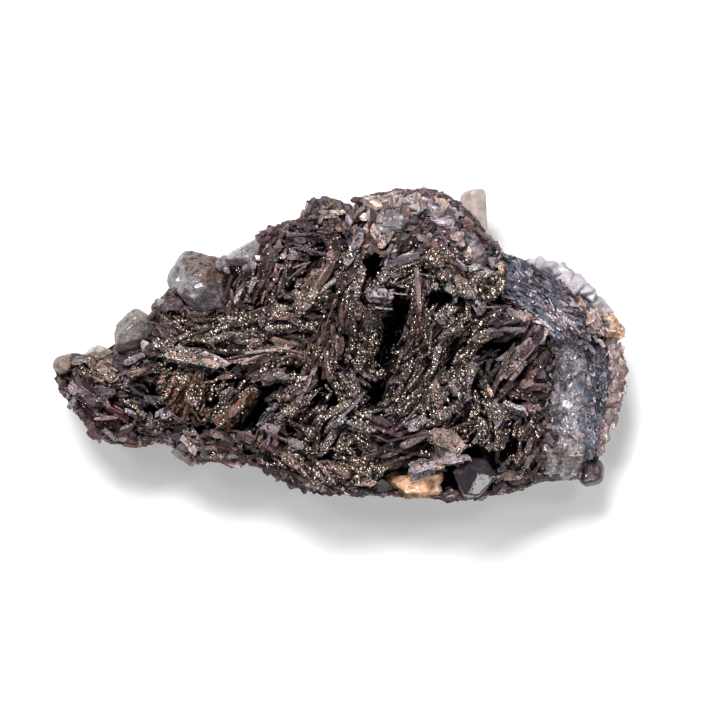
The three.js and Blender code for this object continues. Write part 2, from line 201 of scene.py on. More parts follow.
@dataclass
class Shell:
    """Closed surfaces in the making: corners in millimetres, faces, and values on the corners."""

    points: Array
    quads: Array
    triangles: Array
    values: dict[str, Array]
    faceted: bool = False

    @classmethod
    def from_rings(cls, rings: Array, poles: Array, faceted: bool = False, **values: Array) -> "Shell":
        """Closes many surfaces at once, each a stack of rings between two poles.

        A ring runs counter-clockwise about the way from the first pole to the last.

        Args:
            rings: places, as surfaces by stations by around by three.
            poles: places, as surfaces by two by three.
            faceted: whether every face keeps its own flat shading.
            values: one value, or one colour, for each surface, or for each of its corners.

        Returns:
            All the surfaces as one shell.
        """
        count, stations, around, _ = rings.shape
        each = stations * around
        points = np.concatenate([rings.reshape(count, each, 3), poles], axis=1)
        turn = np.arange(around)
        following = (turn + 1) % around
        start = (np.arange(stations - 1) * around)[:, None]
        here, there = start + turn, start + following
        quads = np.stack([here, there, there + around, here + around], axis=-1).reshape(-1, 4)
        first = np.stack([np.full(around, each), following, turn], axis=-1)
        top = each - around
        last = np.stack([np.full(around, each + 1), top + turn, top + following], axis=-1)
        triangles = np.concatenate([first, last])
        offset = (np.arange(count) * (each + 2))[:, None, None]
        spread = {}
        for name, value in values.items():
            if value.shape[:2] == (count, each + 2):
                spread[name] = value.reshape(count * (each + 2), -1)
            else:
                spread[name] = np.repeat(value.reshape(count, -1), each + 2, axis=0)
        sides = (quads + offset).reshape(-1, 4), (triangles + offset).reshape(-1, 3)
        return cls(points.reshape(-1, 3), *sides, spread, faceted)

    def piece(
        self, name: str, material: bpy.types.Material, slot: str, nodes: list[str]
    ) -> bpy.types.Object:
        """Makes the mesh, dresses it and sets it in the frame.

        Args:
            name: the piece's name.
            material: its finish.
            slot: not used.
            nodes: the solids that it stands for.

        Returns:
            The finished object.
        """
        mesh = bpy.data.meshes.new(name)
        mesh.vertices.add(len(self.points))
        mesh.vertices.foreach_set("co", (self.points * MM).astype(np.float32).ravel())
        corners = np.concatenate([self.quads.ravel(), self.triangles.ravel()]).astype(np.int32)
        sides = np.repeat([4, 3], [len(self.quads), len(self.triangles)]).astype(np.int32)
        starts = np.concatenate([[0], np.cumsum(sides)[:-1]]).astype(np.int32)
        mesh.loops.add(len(corners))
        mesh.loops.foreach_set("vertex_index", corners)
        mesh.polygons.add(len(sides))
        mesh.polygons.foreach_set("loop_start", starts)
        mesh.polygons.foreach_set("loop_total", sides)
        mesh.update(calc_edges=True)
        if self.faceted:
            mesh.shade_flat()
        for label, value in self.values.items():
            kind, key = ("FLOAT_COLOR", "color") if value.shape[1] == 3 else ("FLOAT", "value")
            layer = mesh.attributes.new(label, kind, "POINT")
            if value.shape[1] == 3:
                value = np.concatenate([value, np.ones((len(value), 1))], axis=1)
            layer.data.foreach_set(key, value.astype(np.float32).ravel())
        mesh.materials.append(material)
        item = linked(name, mesh)
        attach(item, "root")
        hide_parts(*nodes)
        LOG.info("%s: %d triangles", name, 2 * len(self.quads) + len(self.triangles))
        return item


def star_directions(stations: int, around: int) -> tuple[Array, Array]:
    """Directions out from a middle, in rings from straight down to straight up.

    Args:
        stations: rings between the poles.
        around: directions in a ring.

    Returns:
        Ring directions, stations by around by three, and the two pole directions.
    """
    tilt = (np.pi * np.arange(1, stations + 1) / (stations + 1))[:, None]
    turn = 2 * np.pi * np.arange(around) / around
    level = np.sin(tilt)
    rings = np.stack([level * np.cos(turn), level * np.sin(turn), -np.cos(tilt) * np.ones(around)], axis=-1)
    return rings, np.array([[0.0, 0, -1], [0, 0, 1]])


def cleaved_reach(directions: Array, normals: Array, offsets: Array, sharpness: float) -> Array:
    """How far a solid that is bounded by planes reaches along each direction.

    A plane n.p = d is met along u at d / (n.u), and the nearest plane counts. The nearest is taken as
    the power mean (sum (n.u / d)^k)^(-1/k), which rounds the edges a little.

    Args:
        directions: unit directions, any number by three.
        normals: outward plane normals, solids by planes by three.
        offsets: plane distances from the middle, solids by planes.
        sharpness: the power k.

    Returns:
        Reach, solids by directions.
    """
    closeness = np.maximum(np.einsum("nkc,mc->nkm", normals, directions), 0) / offsets[..., None]
    return (closeness**sharpness).sum(axis=1) ** (-1 / sharpness)


def grains(
    middles: Array, sizes: Array, rng: Random, sharpness: float = 40.0, stations: int = 16, around: int = 24
) -> tuple[Array, Array]:
    """Small cleaved crystals, each bounded by three pairs of planes that lean like those of calcite.

    Args:
        middles: grain middles, grains by three.
        sizes: grain radii.
        rng: the random source.
        sharpness: how crisp the edges are.
        stations: rings on a grain.
        around: corners on a ring.

    Returns:
        Rings and poles for Shell.from_rings.
    """
    rings, poles = star_directions(stations, around)
    square = np.linalg.qr(rng.normal(size=(len(middles), 3, 3)))[0]
    leaning = square - 0.25 * np.roll(square, 1, axis=1)
    normals = np.concatenate([leaning, -leaning], axis=1)
    normals /= np.linalg.norm(normals, axis=-1, keepdims=True)
    offsets = rng.uniform(0.6, 0.9, (len(middles), 6))
    directions = np.concatenate([rings.reshape(-1, 3), poles])
    reach = cleaved_reach(directions, normals, offsets, sharpness)
    reach = np.minimum(reach, 1.4) * sizes[:, None]
    places = middles[:, None, :] + reach[..., None] * directions
    return places[:, :-2].reshape(len(middles), stations, around, 3), places[:, -2:]


def corner_tips(area: Area, gap: float, rng: Random) -> Array:
    """Tips of corners over a rectangle, about gap apart, as x, y and height."""
    spots = scattered(*area, gap, rng)
    return np.c_[spots, rng.uniform(-0.2, 0.25, len(spots)) * gap]


def corners(x: Array, y: Array, tips: Array, slope: float, rng: Random) -> tuple[Array, Array]:
    """Height of crystal corners that grew together, or of chips on a broken face.

    Each corner falls away from its tip by the steepest of three slopes a third of a turn apart, and
    the highest corner counts.

    Args:
        x: places along.
        y: places across.
        tips: x, y and height of each corner's tip.
        slope: mean slope of a corner's faces.
        rng: the random source.

    Returns:
        Heights in millimetres, and a random brightness of about 1 for each face: painted light and shade
        that sets the faces apart.
    """
    height, light = np.full(np.shape(x), -np.inf), np.ones(np.shape(x))
    for cx, cy, top in tips:
        turn = rng.uniform(0, 2 * np.pi) + np.array([0, 2, 4]) * np.pi / 3
        steep = slope * rng.uniform(0.4, 1.7, 3)
        fall = steep * ((x - cx)[..., None] * np.cos(turn) + (y - cy)[..., None] * np.sin(turn))
        level = top - fall.max(axis=-1)
        # Painted light and shade: each face gets its own brightness
        shine = rng.lognormal(0, 0.3, 3)[fall.argmax(axis=-1)]
        light = np.where(level > height, shine, light)
        height = np.maximum(height, level)
    return height, light


@dataclass
class Laths:
    """Bladed crystals: a flat four-sided profile carried along a slightly bowed path, thin at both ends.

    Headings, pitches and rolls are in degrees, and a tint is a linear colour for each lath.
    """

    middle: Array
    heading: Array
    pitch: Array
    roll: Array
    length: Array
    width: Array
    thickness: Array
    tint: Array
    stations: int = 6

    PROFILE = np.array([[0.5, -0.35], [0.44, 0.5], [-0.5, 0.35], [-0.44, -0.5]])

    def keep(self, mask: Array) -> "Laths":
        """The laths that a mask picks."""
        names = [name for name in Laths.__dataclass_fields__ if name != "stations"]
        return Laths(*(getattr(self, name)[mask] for name in names), stations=self.stations)

    def axes(self) -> tuple[Array, Array, Array]:
        """Unit directions along each lath, across its width and through its thickness.

        The width stands upright at roll 0 and lies flat at roll 90.

        Returns:
            Three arrays, laths by three.
        """
        turn, climb, roll = np.radians(self.heading), np.radians(self.pitch), np.radians(self.roll)
        level = np.cos(climb)
        along = np.stack([np.cos(turn) * level, np.sin(turn) * level, np.sin(climb)], axis=-1)
        side = np.stack([-np.sin(turn), np.cos(turn), np.zeros_like(turn)], axis=-1)
        up = np.cross(along, side)
        width = np.cos(roll)[:, None] * up + np.sin(roll)[:, None] * side
        return along, width, np.cross(along, width)

    def tips(self) -> Array:
        """Both end points of every lath, two by laths by three."""
        return self.middle + np.array([-0.5, 0.5])[:, None, None] * self.axes()[0] * self.length[:, None]

    def surface(self, rng: Random) -> tuple[Array, Array]:
        """The profile carried along the path.

        At share u of the half length l/2, the place is middle + u l/2 + bow (1 - u^2) + profile * taper(u).

        Args:
            rng: the random source for bows and ragged edges.

        Returns:
            Rings and poles for Shell.from_rings.
        """
        count = len(self.middle)
        along, across, through = self.axes()
        share = 0.96 * np.sin(np.linspace(-0.5, 0.5, self.stations) * np.pi)
        blunt = rng.uniform(0.05, 0.6, (count, 1))
        least = rng.uniform(0.3, 0.9, (count, 1))
        taper = np.clip((1 - np.abs(share)) / blunt, least, 1)
        ragged = taper * rng.uniform(0.74, 1.14, (count, self.stations))
        bow = rng.normal(0, 0.03, (count, 1, 1)) * self.length[:, None, None] * (1 - share**2)[:, None]
        path = self.middle[:, None] + along[:, None] * (share * self.length[:, None] / 2)[..., None]
        path = path + bow * through[:, None]
        wide = (ragged * self.width[:, None])[:, :, None, None] * self.PROFILE[:, :1]
        thick = (np.sqrt(taper) * self.thickness[:, None])[:, :, None, None] * self.PROFILE[:, 1:]
        rings = path[:, :, None] + wide * across[:, None, None] + thick * through[:, None, None]
        slant = rng.uniform(-0.9, 0.9, (count, 1, 1, 1))
        rings = rings + slant * wide * along[:, None, None]
        rings = rings + rng.normal(0, 0.05, rings.shape) * self.width[:, None, None, None]
        ends = np.array([-1.0, 1.0])[:, None] * self.length[:, None, None] / 2 * along[:, None]
        return rings, self.middle[:, None] + ends

    def shell(self, rng: Random) -> Shell:
        """The laths as one shell, with their tints and a streak coordinate that runs along each lath.

        Args:
            rng: the random source.

        Returns:
            A shell with values tint and streak.
        """
        rings, poles = self.surface(rng)
        count, stations, around, _ = rings.shape
        number = rng.uniform(0, 500, (count, 1))
        across = np.tile(self.PROFILE[:, 0] + 0.3 * self.PROFILE[:, 1], stations) * self.width[:, None]
        along = np.repeat(np.linspace(-0.5, 0.5, stations), around) * self.length[:, None]
        streak = np.stack([0.16 * along, 2.4 * across, number + 0 * along], axis=-1)
        ends = np.concatenate([streak[:, :1], streak[:, -1:]], axis=1)
        streak = np.concatenate([streak, ends], axis=1)
        return Shell.from_rings(rings, poles, faceted=True, tint=self.tint, streak=streak)


@dataclass(frozen=True)
class Outline:
    """The edge of a piece seen from above: an upper and a lower line between its two ends."""

    upper: Rows
    lower: Rows

    def span(self, x: Array) -> tuple[Array, Array]:
        """The lowest and highest y at each x."""
        low, high = np.array(self.lower), np.array(self.upper)
        return np.interp(x, low[:, 0], low[:, 1]), np.interp(x, high[:, 0], high[:, 1])

    def ends(self, height: float) -> Array:
        """Both end points at a height."""
        return np.array([(*self.lower[i], height) for i in (0, -1)])

    def stations(self, gap: float, start: float, end: float) -> Array:
        """A column of places along X, from start past the first end to end before the last."""
        return np.arange(self.lower[0][0] + start, self.lower[-1][0] - end, gap)[:, None]

    def inward(self, x: Array, y: Array) -> Array:
        """Distance in from the nearest stretch of the edge, negative outside it.

        Args:
            x: places along.
            y: places across.

        Returns:
            Millimetres, one for each place.
        """
        corners = np.array(self.lower + self.upper[-2:0:-1])
        step = np.roll(corners, -1, axis=0) - corners
        place = np.stack([np.ravel(x), np.ravel(y)], axis=-1)[:, None] - corners
        share = np.clip((place * step).sum(-1) / (step**2).sum(-1), 0, 1)
        away = np.linalg.norm(place - share[..., None] * step, axis=-1).min(axis=1).reshape(np.shape(x))
        low, high = self.span(x)
        return np.where((y > low) & (y < high), away, -away)

    def heading(self, x: Array, y: Array) -> Array:
        """The way that the nearest stretch of the edge runs, square to the slope of the distance inward.

        Args:
            x: places along.
            y: places across.

        Returns:
            Degrees, one for each place.
        """
        step = 0.05
        rise_x = self.inward(x + step, y) - self.inward(x - step, y)
        rise_y = self.inward(x, y + step) - self.inward(x, y - step)
        return np.degrees(np.arctan2(-rise_x, rise_y))


CRUST_EDGE = Outline(
    upper=(
        (-54.2, -2.2), (-53.3, -0.4), (-50, 0), (-46, -0.2), (-42, -0.8), (-39, 1.2), (-37, 5.4),
        (-35.2, 9.4), (-32, 10.2), (-28, 8.4), (-24.4, 8.6), (-23, 13.5), (-21.5, 16.4), (-17.5, 19),
        (-15.8, 22.3), (-12.7, 23.7), (-8.5, 25), (-7.7, 28), (-4.6, 28.5), (-1.7, 28), (0.4, 26.2),
        (1.4, 28.6), (7, 29.7), (12.7, 30), (17.6, 29), (20.3, 27), (23.3, 24), (26.6, 20), (28.2, 16.5),
        (29.5, 12), (32.4, 8), (36.4, 4.6), (38, 0.5),
    ),
    lower=(
        (-54.2, -2.2), (-52.4, -6.4), (-49.1, -11.1), (-46, -15.3), (-42.5, -15.8), (-39, -16.8),
        (-33.6, -15.6), (-31.5, -17.4), (-28, -19.6), (-23.5, -19), (-16.8, -20.2), (-13.6, -21.8),
        (-9.5, -24.2), (-3.6, -25.4), (5.5, -25.6), (14.5, -26), (21.8, -26.3), (27.3, -25.4), (32, -24),
        (35.8, -22), (36.6, -15), (37.2, -6), (38, 0.5),
    ),
)
ROCK_EDGE = Outline(
    upper=(
        (-52.5, -3), (-50, -0.5), (-45, 0.8), (-36, 7.8), (-30, 16.5), (-24, 17.2), (-15, 21),
        (-4.5, 25.2), (0.4, 25), (10, 27.4), (19.5, 26.6), (27, 19.2), (33, 17.2), (37.8, 15),
        (42.5, 11.8), (46.4, 7.6), (48.2, 4.5), (48.8, -2.5),
    ),
    lower=(
        (-52.5, -3), (-47.5, -11.5), (-40, -15.8), (-34, -14.8), (-27.5, -18.5), (-16, -19.2),
        (-8.5, -23.5), (6, -25), (22, -25.5), (34, -23.4), (44, -22.5), (45.4, -19), (45.8, -15.5),
        (46.6, -12), (47.8, -7), (48.8, -2.5),
    ),
)

# Sprays of barite blades by colour: x, y, heading in degrees, length, bundles side by side
SPRAYS: dict[Tone, Rows] = {
    Tone.TAN: (
        (-46.4, -3.1, -45, 6.5, 2), (-28.7, -16.5, -52, 5.5, 1), (-14.5, 0.5, 2, 12.7, 2),
        (-22.2, -17.6, -8, 8.7, 2), (-20.7, 12.5, 60, 6.5, 1), (-3.6, 1.6, 86, 9.1, 2),
        (-7.3, -20.9, -45, 8.7, 3),
    ),
    Tone.PLUM: (
        (-48.2, -7.3, -46, 7.3, 2), (-38.5, -1.3, 25, 7.6, 2), (-8, 20.9, -18, 7.6, 2),
        (-2.2, 21.6, -62, 5.5, 2), (33.8, -7.1, -5, 9.5, 3), (3.6, -14, -25, 8.7, 3),
        (9.5, -11.8, 36, 9.1, 2), (-5.5, -12.5, 60, 7.6, 2),
    ),
    Tone.RED: (
        (-43.6, -10.7, -25, 8.4, 2), (-13.8, 19.8, 76, 5.8, 2), (12.2, 8.5, 88, 11.3, 2),
        (19.3, 2, 50, 10.5, 3), (35.6, -0.5, 56, 9.5, 2), (14.5, 19.8, 60, 6.9, 3),
    ),
    Tone.GREY: (
        (-44.2, -6.5, 20, 3.6, 1), (-34.5, -12.5, -12, 5.8, 2), (-17.3, 4.2, 4, 11.3, 3),
        (-14.9, -12.7, 55, 5.8, 2), (0.4, 18.7, 68, 9.1, 2), (23.3, 15.8, 32, 6.5, 2),
        (15.6, 6.4, 50, 7.6, 2), (25.8, 4.5, 12, 8.4, 2), (20.4, -6, -62, 6.9, 2),
        (-0.7, -11.8, 46, 10.5, 2), (22.2, 21.6, -50, 8, 1),
    ),
    Tone.DARK: ((-38.2, -8.2, -30, 5.1, 2),),
    Tone.BROWN: (
        (-33.6, 3.6, -20, 7.6, 3), (-26.4, 4.5, 10, 8.4, 2), (-14.5, -4.2, 25, 5.8, 2),
        (-14, 13.6, 72, 7.6, 3), (0, 11.8, 76, 8.4, 3), (-9.5, 7.8, -6, 8.4, 3), (1.1, 3.5, 82, 10.9, 3),
        (17.5, 16.9, -30, 6.5, 2), (25.8, 13.6, 70, 6.9, 2), (12.7, -0.2, 52, 11.3, 3),
        (13.8, -16.5, 22, 14.2, 3), (4.7, -19.5, 20, 9.5, 2), (-9.1, -7.5, 45, 6.9, 2),
        (-11.3, -15.5, -30, 7.6, 3), (0.4, -22, -10, 7.6, 3), (30.9, -15.8, 60, 6.9, 2),
        (27.3, -23.5, -5, 8.4, 2), (9.5, -5.6, 55, 6.9, 2),
    ),
    Tone.PALE: (
        (-27.8, -0.5, -11, 10.2, 1), (6.2, 19.8, 74, 9.8, 3), (10, 16.7, 16, 6.2, 1),
        (4.9, 11.3, 10, 5.1, 1), (20.4, 13.3, -55, 9.5, 2), (32, 7.1, 5, 4.4, 1), (15.8, -6.7, 86, 5.8, 1),
        (25.8, -12.9, 84, 9.8, 2), (30.9, -9.3, -20, 6.9, 1), (0.4, -6.7, -58, 6.2, 1),
        (16.4, -19.8, 15, 11.3, 1),
    ),
    Tone.RUST: ((-29.5, -6.7, 62, 6.9, 3), (-20.7, -9.1, 50, 9.5, 2)),
    Tone.PINK: ((-5.3, 12.9, 63, 10.9, 1), (30.9, -0.9, 52, 14.2, 3)),
}

# Tones of the blades that differ from their spray, and how common each is
MIXED = {
    Tone.BROWN: 0.28, Tone.PLUM: 0.2, Tone.GREY: 0.2, Tone.TAN: 0.14, Tone.RED: 0.12, Tone.PALE: 0.06,
}

# Plates that stand out of the sprays: both ends and the width
PLATES: dict[Tone, Rows] = {
    Tone.TAN: (
        (-47.7, -0.5, -44.5, -2.9, 1.5), (-44.9, -2.4, -42.4, -4.7, 1.8), (-40, -3.8, -37.1, -2.7, 0.9),
        (-12.2, -18, -9.3, -20, 1.3), (-10.2, -17.8, -8.4, -18.7, 0.7), (30.7, -5.6, 32.7, -4.7, 1.1),
        (15.1, -13.6, 20.7, -16.7, 3.5), (-8.2, 9.1, -2.7, 17.5, 1.8), (-9.6, 11.8, -8.4, 8, 1.1),
    ),
    Tone.SAND: (
        (-33.1, 0.2, -28, -1.1, 1.6), (-29.1, -0.7, -23.5, -2, 1.3), (18.7, 14, 21.6, 10.7, 1.6),
        (21.3, 19.5, 21.3, 17.1, 1.1), (30.5, 7.3, 33.1, 6.6, 2.4), (32.8, 7.2, 35.4, 6.2, 2.2),
        (-8.2, -22.4, -5.6, -23.5, 1.3), (-30.4, -14.7, -27.8, -17.5, 1.3), (-9.5, -4.5, -7.1, -4, 0.9),
        (14.5, -20.4, 16.9, -20, 0.7), (4, 23.1, 6.2, 19.6, 1.6), (-18.7, 0.4, -10.7, 1.3, 0.6),
        (-23.6, 6.4, -18.9, 6.2, 0.7), (-5.8, 11.8, -8.4, 8, 1.1),
    ),
    Tone.CREAM: (
        (18.4, 21.5, 19.1, 20.4, 0.9), (27.1, 16.7, 27.6, 14.7, 1.1), (24.7, -5.8, 25.5, -7.5, 0.7),
    ),
    Tone.GREY: (
        (-49.5, -6.2, -47.5, -7.1, 1.3), (-38.4, -10, -36.7, -10.9, 0.7), (21.1, 15.5, 23.5, 16, 1.3),
        (22.2, 13.3, 25.3, 15.1, 1.5), (22.9, 7.3, 24.2, 9.3, 1.1), (15.5, 7.5, 16.7, 5.5, 1.1),
        (21.3, -1.5, 22.5, -3.3, 1.1), (-11.1, -15.6, -8.4, -16.2, 1.5), (-13.1, -3.1, -11.3, -4.2, 1.5),
        (-25.3, 2.4, -20.9, 4, 0.9), (-0.7, 16.2, 2, 21.8, 1.6), (6.9, 16.2, 12.4, 17.8, 1.5),
        (-0.5, -11.8, 4.4, -13.6, 1.3), (17.8, -5.1, 19.8, -7.6, 1.1), (1.1, 10.4, 2.5, 15.3, 1.1),
    ),
    Tone.PLUM: (
        (-45.3, -6.2, -42.5, -6.9, 1.3), (-36.7, -12.5, -35.3, -12.9, 1.1),
        (-15.8, -3.5, -13.5, -4.2, 1.5), (15.8, 3.1, 19.8, 4.9, 1.1),
    ),
    Tone.LILAC: (
        (-40.7, -1.6, -37.3, 0.2, 1.1), (-33.8, -11.3, -32.2, -10.5, 1.1),
        (-34.9, -10.7, -33.6, -10, 0.9), (25.5, -8.4, 26.7, -12.5, 1.6), (15.5, -11.1, 18.4, -9.5, 1.6),
        (3.1, 11.1, 6.5, 11.1, 1.6), (10.5, -13.3, 13.5, -11.1, 1.5), (-3.6, -12.9, -0.7, -11.1, 1.1),
        (-2.4, -11.8, 2.2, -7.1, 0.6), (-15.1, 4.7, -10.5, 5.1, 0.7),
    ),
    Tone.PALE: (
        (19.6, 20.9, 20.5, 19.5, 0.9), (14.9, -2.7, 16, 1.5, 1.1), (34.2, 2, 35.5, 5.1, 0.9),
        (27.6, -8.5, 31.5, -9.8, 0.9), (10.5, -20.7, 16, -19.3, 1.5), (15.5, -19.3, 21.3, -18.4, 1.5),
        (0, -4.5, 0.9, -7.5, 1.1), (26.7, -3.8, 32.4, 2.5, 1.6),
    ),
    Tone.PINK: (
        (-46, -11.5, -41.8, -11.3, 0.6), (22.2, 2.7, 24.7, 4.5, 1.1), (-6.9, -20.4, -4.5, -22.5, 0.7),
        (-27.1, -18.2, -19.8, -19.8, 1.3), (15.1, -4.7, 16.2, -9.1, 1.6), (33.1, 2.9, 34, 5.5, 0.9),
        (11.8, 15.3, 12.4, 7.8, 0.9),
    ),
    Tone.ROSE: (
        (-29.1, -7.8, -27.5, -8.7, 1.1), (-15.3, -12.5, -12.9, -13.8, 1.5),
    ),
    Tone.ICE: (
        (-17.9, 11.3, -17.2, 13.9, 0.9), (-40.4, -10, -38.7, -10.7, 0.7), (-9.3, -8.4, -8, -6.9, 0.5),
        (23.8, -11.6, 24.2, -14.2, 0.6),
    ),
    Tone.RUST: (
        (-24, -12.5, -21.1, -10, 1.8), (-21.8, -10.5, -18.9, -8.2, 1.6),
    ),
}

# Open crevices between the sprays: x, y, heading in degrees, length, width, depth
CREVICES = np.array([
    (4.2, 16.9, 80, 10, 3, 9), (7.6, 4.5, 72, 15, 4.2, 12), (-1.1, 0.9, 85, 8, 1.6, 7),
    (4, -7.3, 40, 6, 4, 9), (-4, -10.9, 70, 9, 2, 8), (-16.7, -10, 60, 10, 3, 9),
    (-20.9, -14.9, 5, 8, 2, 7), (20.9, -15.5, -60, 9, 2.6, 10), (28.7, 0.9, 40, 8, 3, 9),
    (28.7, -16.7, 10, 6, 3, 8), (16.4, 10, 0, 6.5, 2.2, 7), (-27.3, -13.6, 0, 6, 2.2, 6),
    (-12, 19.1, 85, 5.5, 1.4, 6), (-10.9, 10, 80, 8.2, 1.8, 6), (21.8, -6, 60, 5.5, 1.8, 6),
    (-7.5, 16, 75, 6, 2, 6), (-36.4, -6.7, 20, 4.5, 3, 7), (-35.5, -10.5, -10, 5, 2.4, 7),
    (-48, -11, -50, 5, 1.8, 6), (-42.6, -0.9, 60, 3, 2.4, 6), (25.5, 2, 20, 4, 2.6, 8),
    (17.6, -1.3, 80, 4, 2, 7), (36.4, -2.9, 85, 3.5, 1.6, 7), (-14.2, -5.5, -5, 5.5, 1.8, 7),
    (-6, -8, 60, 5, 2, 8), (-10.9, -13.8, 80, 3.5, 2.2, 7), (-24.4, -8.5, 30, 3, 2, 6),
    (-4.9, -19.5, 60, 3, 2.4, 6), (-17.8, -18, 10, 3, 2, 6), (18, -7.8, 80, 4, 2.2, 8),
    (31, -8.5, -5, 5, 1.4, 6), (6.5, -15.5, 15, 4, 1.8, 7), (4.5, -4.9, 20, 4, 1.8, 7),
    (-24.7, -3.6, 0, 4, 1.5, 6), (-20.5, -5.1, 0, 3.5, 1.4, 6), (-9.6, -2.9, 0, 3.5, 1.6, 6),
    (-5.1, -4.5, 80, 4, 1.8, 7), (15.5, 8.5, 30, 4, 2.6, 8), (28, -4, 50, 4, 1.6, 7),
])


class Heap(NamedTuple):
    """A heap of blocky lumps. Up to the crust's own_level its height is above the crust, else the foot."""

    x: float
    y: float
    wide: float
    deep: float
    lumps: int
    size: float
    tones: tuple[Tone, ...]
    height: float


# One heap in each row, its fields in order
HEAP_ROWS = (
    # The first heap: near-black lumps set low, as painted shade in the gaps between the dome's pale heaps
    (16.5, 23.5, 9, 9, 130, 0.8, (Tone.DARK, Tone.DARK, Tone.PLUM, Tone.SHADE_BLACK), -0.1),
    (13, 26.6, 6, 4, 30, 1.25, (Tone.LILAC, Tone.PALE, Tone.ICE, Tone.PLUM), 0.5),
    (16.6, 24.4, 5, 4.5, 26, 1.2, (Tone.ROSE, Tone.ICE, Tone.PALE), 0.6),
    (20, 24, 5, 5, 30, 1.3, (Tone.PALE, Tone.LILAC, Tone.ROSE, Tone.SAND), 0.6),
    (23.6, 21.4, 5, 6, 32, 1.2, (Tone.LILAC, Tone.PALE, Tone.ICE, Tone.SLATE), 0.5),
    (25.4, 21, 2.4, 5, 22, 0.9, (Tone.LILAC, Tone.ICE, Tone.STEEL), 0.2),
    (15.4, 21, 5, 2.4, 24, 0.9, (Tone.RED, Tone.PLUM, Tone.BROWN), 0.5),
    (6.5, 28, 9, 1.6, 60, 1.3, (Tone.SAND, Tone.TAN, Tone.SAND), 0.6),
    (6.6, 27, 5, 1.2, 14, 1.4, (Tone.SAND, Tone.SAND, Tone.TAN), 0.9),
    (4.2, 22.6, 4, 5, 26, 1.0, (Tone.SAND, Tone.PINK, Tone.TAN), 0.3),
    (3, 25.6, 4, 3, 16, 1.2, (Tone.SAND, Tone.TAN), 0.4),
    (7.4, 25.2, 6, 2, 24, 0.7, (Tone.TAN, Tone.BROWN, Tone.GREY), 1.6),
    (7, 21.4, 6, 2, 24, 0.7, (Tone.TAN, Tone.PLUM, Tone.GREY), 1.0),
    (-4.6, 26.4, 7, 3.4, 70, 0.85, (Tone.SAND, Tone.TAN, Tone.BROWN, Tone.SAND), 0.4),
    (-13, 20.6, 7, 5, 50, 0.7, (Tone.RED, Tone.BROWN, Tone.PLUM), 0),
    (24, 19.5, 7, 7, 50, 0.75, (Tone.GREY, Tone.PALE, Tone.SLATE, Tone.DARK), 0),
    (-41, -14, 12, 4, 50, 0.7, (Tone.BROWN, Tone.DARK, Tone.PLUM), 0),
    (-26, -17, 12, 4, 60, 0.7, (Tone.TAN, Tone.BROWN, Tone.GREY), 0),
    (-6, -23, 12, 3, 50, 0.7, (Tone.BROWN, Tone.TAN, Tone.DARK), 0),
    (29, -22, 12, 4, 60, 0.7, (Tone.BROWN, Tone.DARK, Tone.RED), 0),
    (32.5, 7.6, 3, 2, 10, 1.2, (Tone.SAND, Tone.PALE), 0),
    (-27, 8.6, 9, 2.4, 40, 0.7, (Tone.BROWN, Tone.PINK, Tone.DARK), 0),
    (-22.3, 12.4, 2, 6, 24, 0.8, (Tone.TAN, Tone.BROWN, Tone.PINK), 0),
    (-33.6, 10, 4, 2, 40, 0.7, (Tone.BROWN, Tone.PINK, Tone.GREY, Tone.DARK), 12.8),
    (-37.6, 3, 3, 6, 30, 0.7, (Tone.BROWN, Tone.PLUM, Tone.DARK), 0),
    (-46, -1.4, 9, 2, 36, 0.65, (Tone.BROWN, Tone.TAN, Tone.DARK), 0),
    (37, -1, 2, 8, 50, 0.42, (Tone.BROWN, Tone.SLATE, Tone.GREY, Tone.DARK), 17.2),
    (36, -13, 2, 8, 50, 0.42, (Tone.BROWN, Tone.TAN, Tone.DARK, Tone.GREY), 17.4),
    (37.6, -21.4, 6, 2, 60, 0.45, (Tone.BROWN, Tone.TAN, Tone.PINK, Tone.DARK), 14.2),
    (41, 3.6, 5, 2, 50, 0.45, (Tone.STEEL, Tone.LILAC, Tone.SLATE), 17.1),
    (43.6, 6.2, 4.5, 3.5, 130, 0.5, (Tone.ROSE, Tone.SAND, Tone.CREAM, Tone.SAND), 16.3),
    (36.5, 14.2, 9, 3, 50, 0.5, (Tone.ROSE, Tone.SAND, Tone.SLATE, Tone.BROWN), 14.0),
    (10, -25.2, 30, 1.2, 60, 0.6, (Tone.PINK, Tone.TAN, Tone.SAND, Tone.BROWN), 13.4),
)

HEAPS = tuple(Heap(*row) for row in HEAP_ROWS)

# Where pyrite grains gather: x, y, spread along x, spread along y, share
PYRITE_PATCHES = np.array([
    (-14.5, -1, 17, 6.5, 0.9), (14.5, 1, 6, 8.5, 1.4), (-2, -19, 15, 4.5, 1.1), (25.5, 13.6, 4, 3.5, 1.1),
    (31, -16.4, 4.5, 3.6, 0.9), (-26, 5, 8, 4, 0.9), (-10, 13, 9, 6, 0.7), (8, -4, 10, 7, 1.1),
    (-41, -5, 8, 5, 0.5), (18, -11, 9, 6, 0.9), (-28, -8, 9, 6, 0.8), (2, 5, 4, 6, 1.2),
    (20, 8, 5, 5, 1.0), (10, 16, 9, 3.5, 0.5), (26, -5, 5, 6, 0.6), (-3, -9, 7, 6, 0.7),
])

# Crystals that the crust makes room for
CRYSTAL_NODES = [
    "calcite_upper_left", "calcite_sliver", "calcite_left", "calcite_ledge", "calcite_tip", "calcite_top",
    "calcite_lower_right", "calcite_chip", "orange_calcite_block", "orange_calcite_lump",
    "orange_calcite_chip", "dark_crystal",
]

# Crystals that no blade covers
OPEN_NODES = ("orange_calcite_block", "dark_crystal", "orange_calcite_lump")


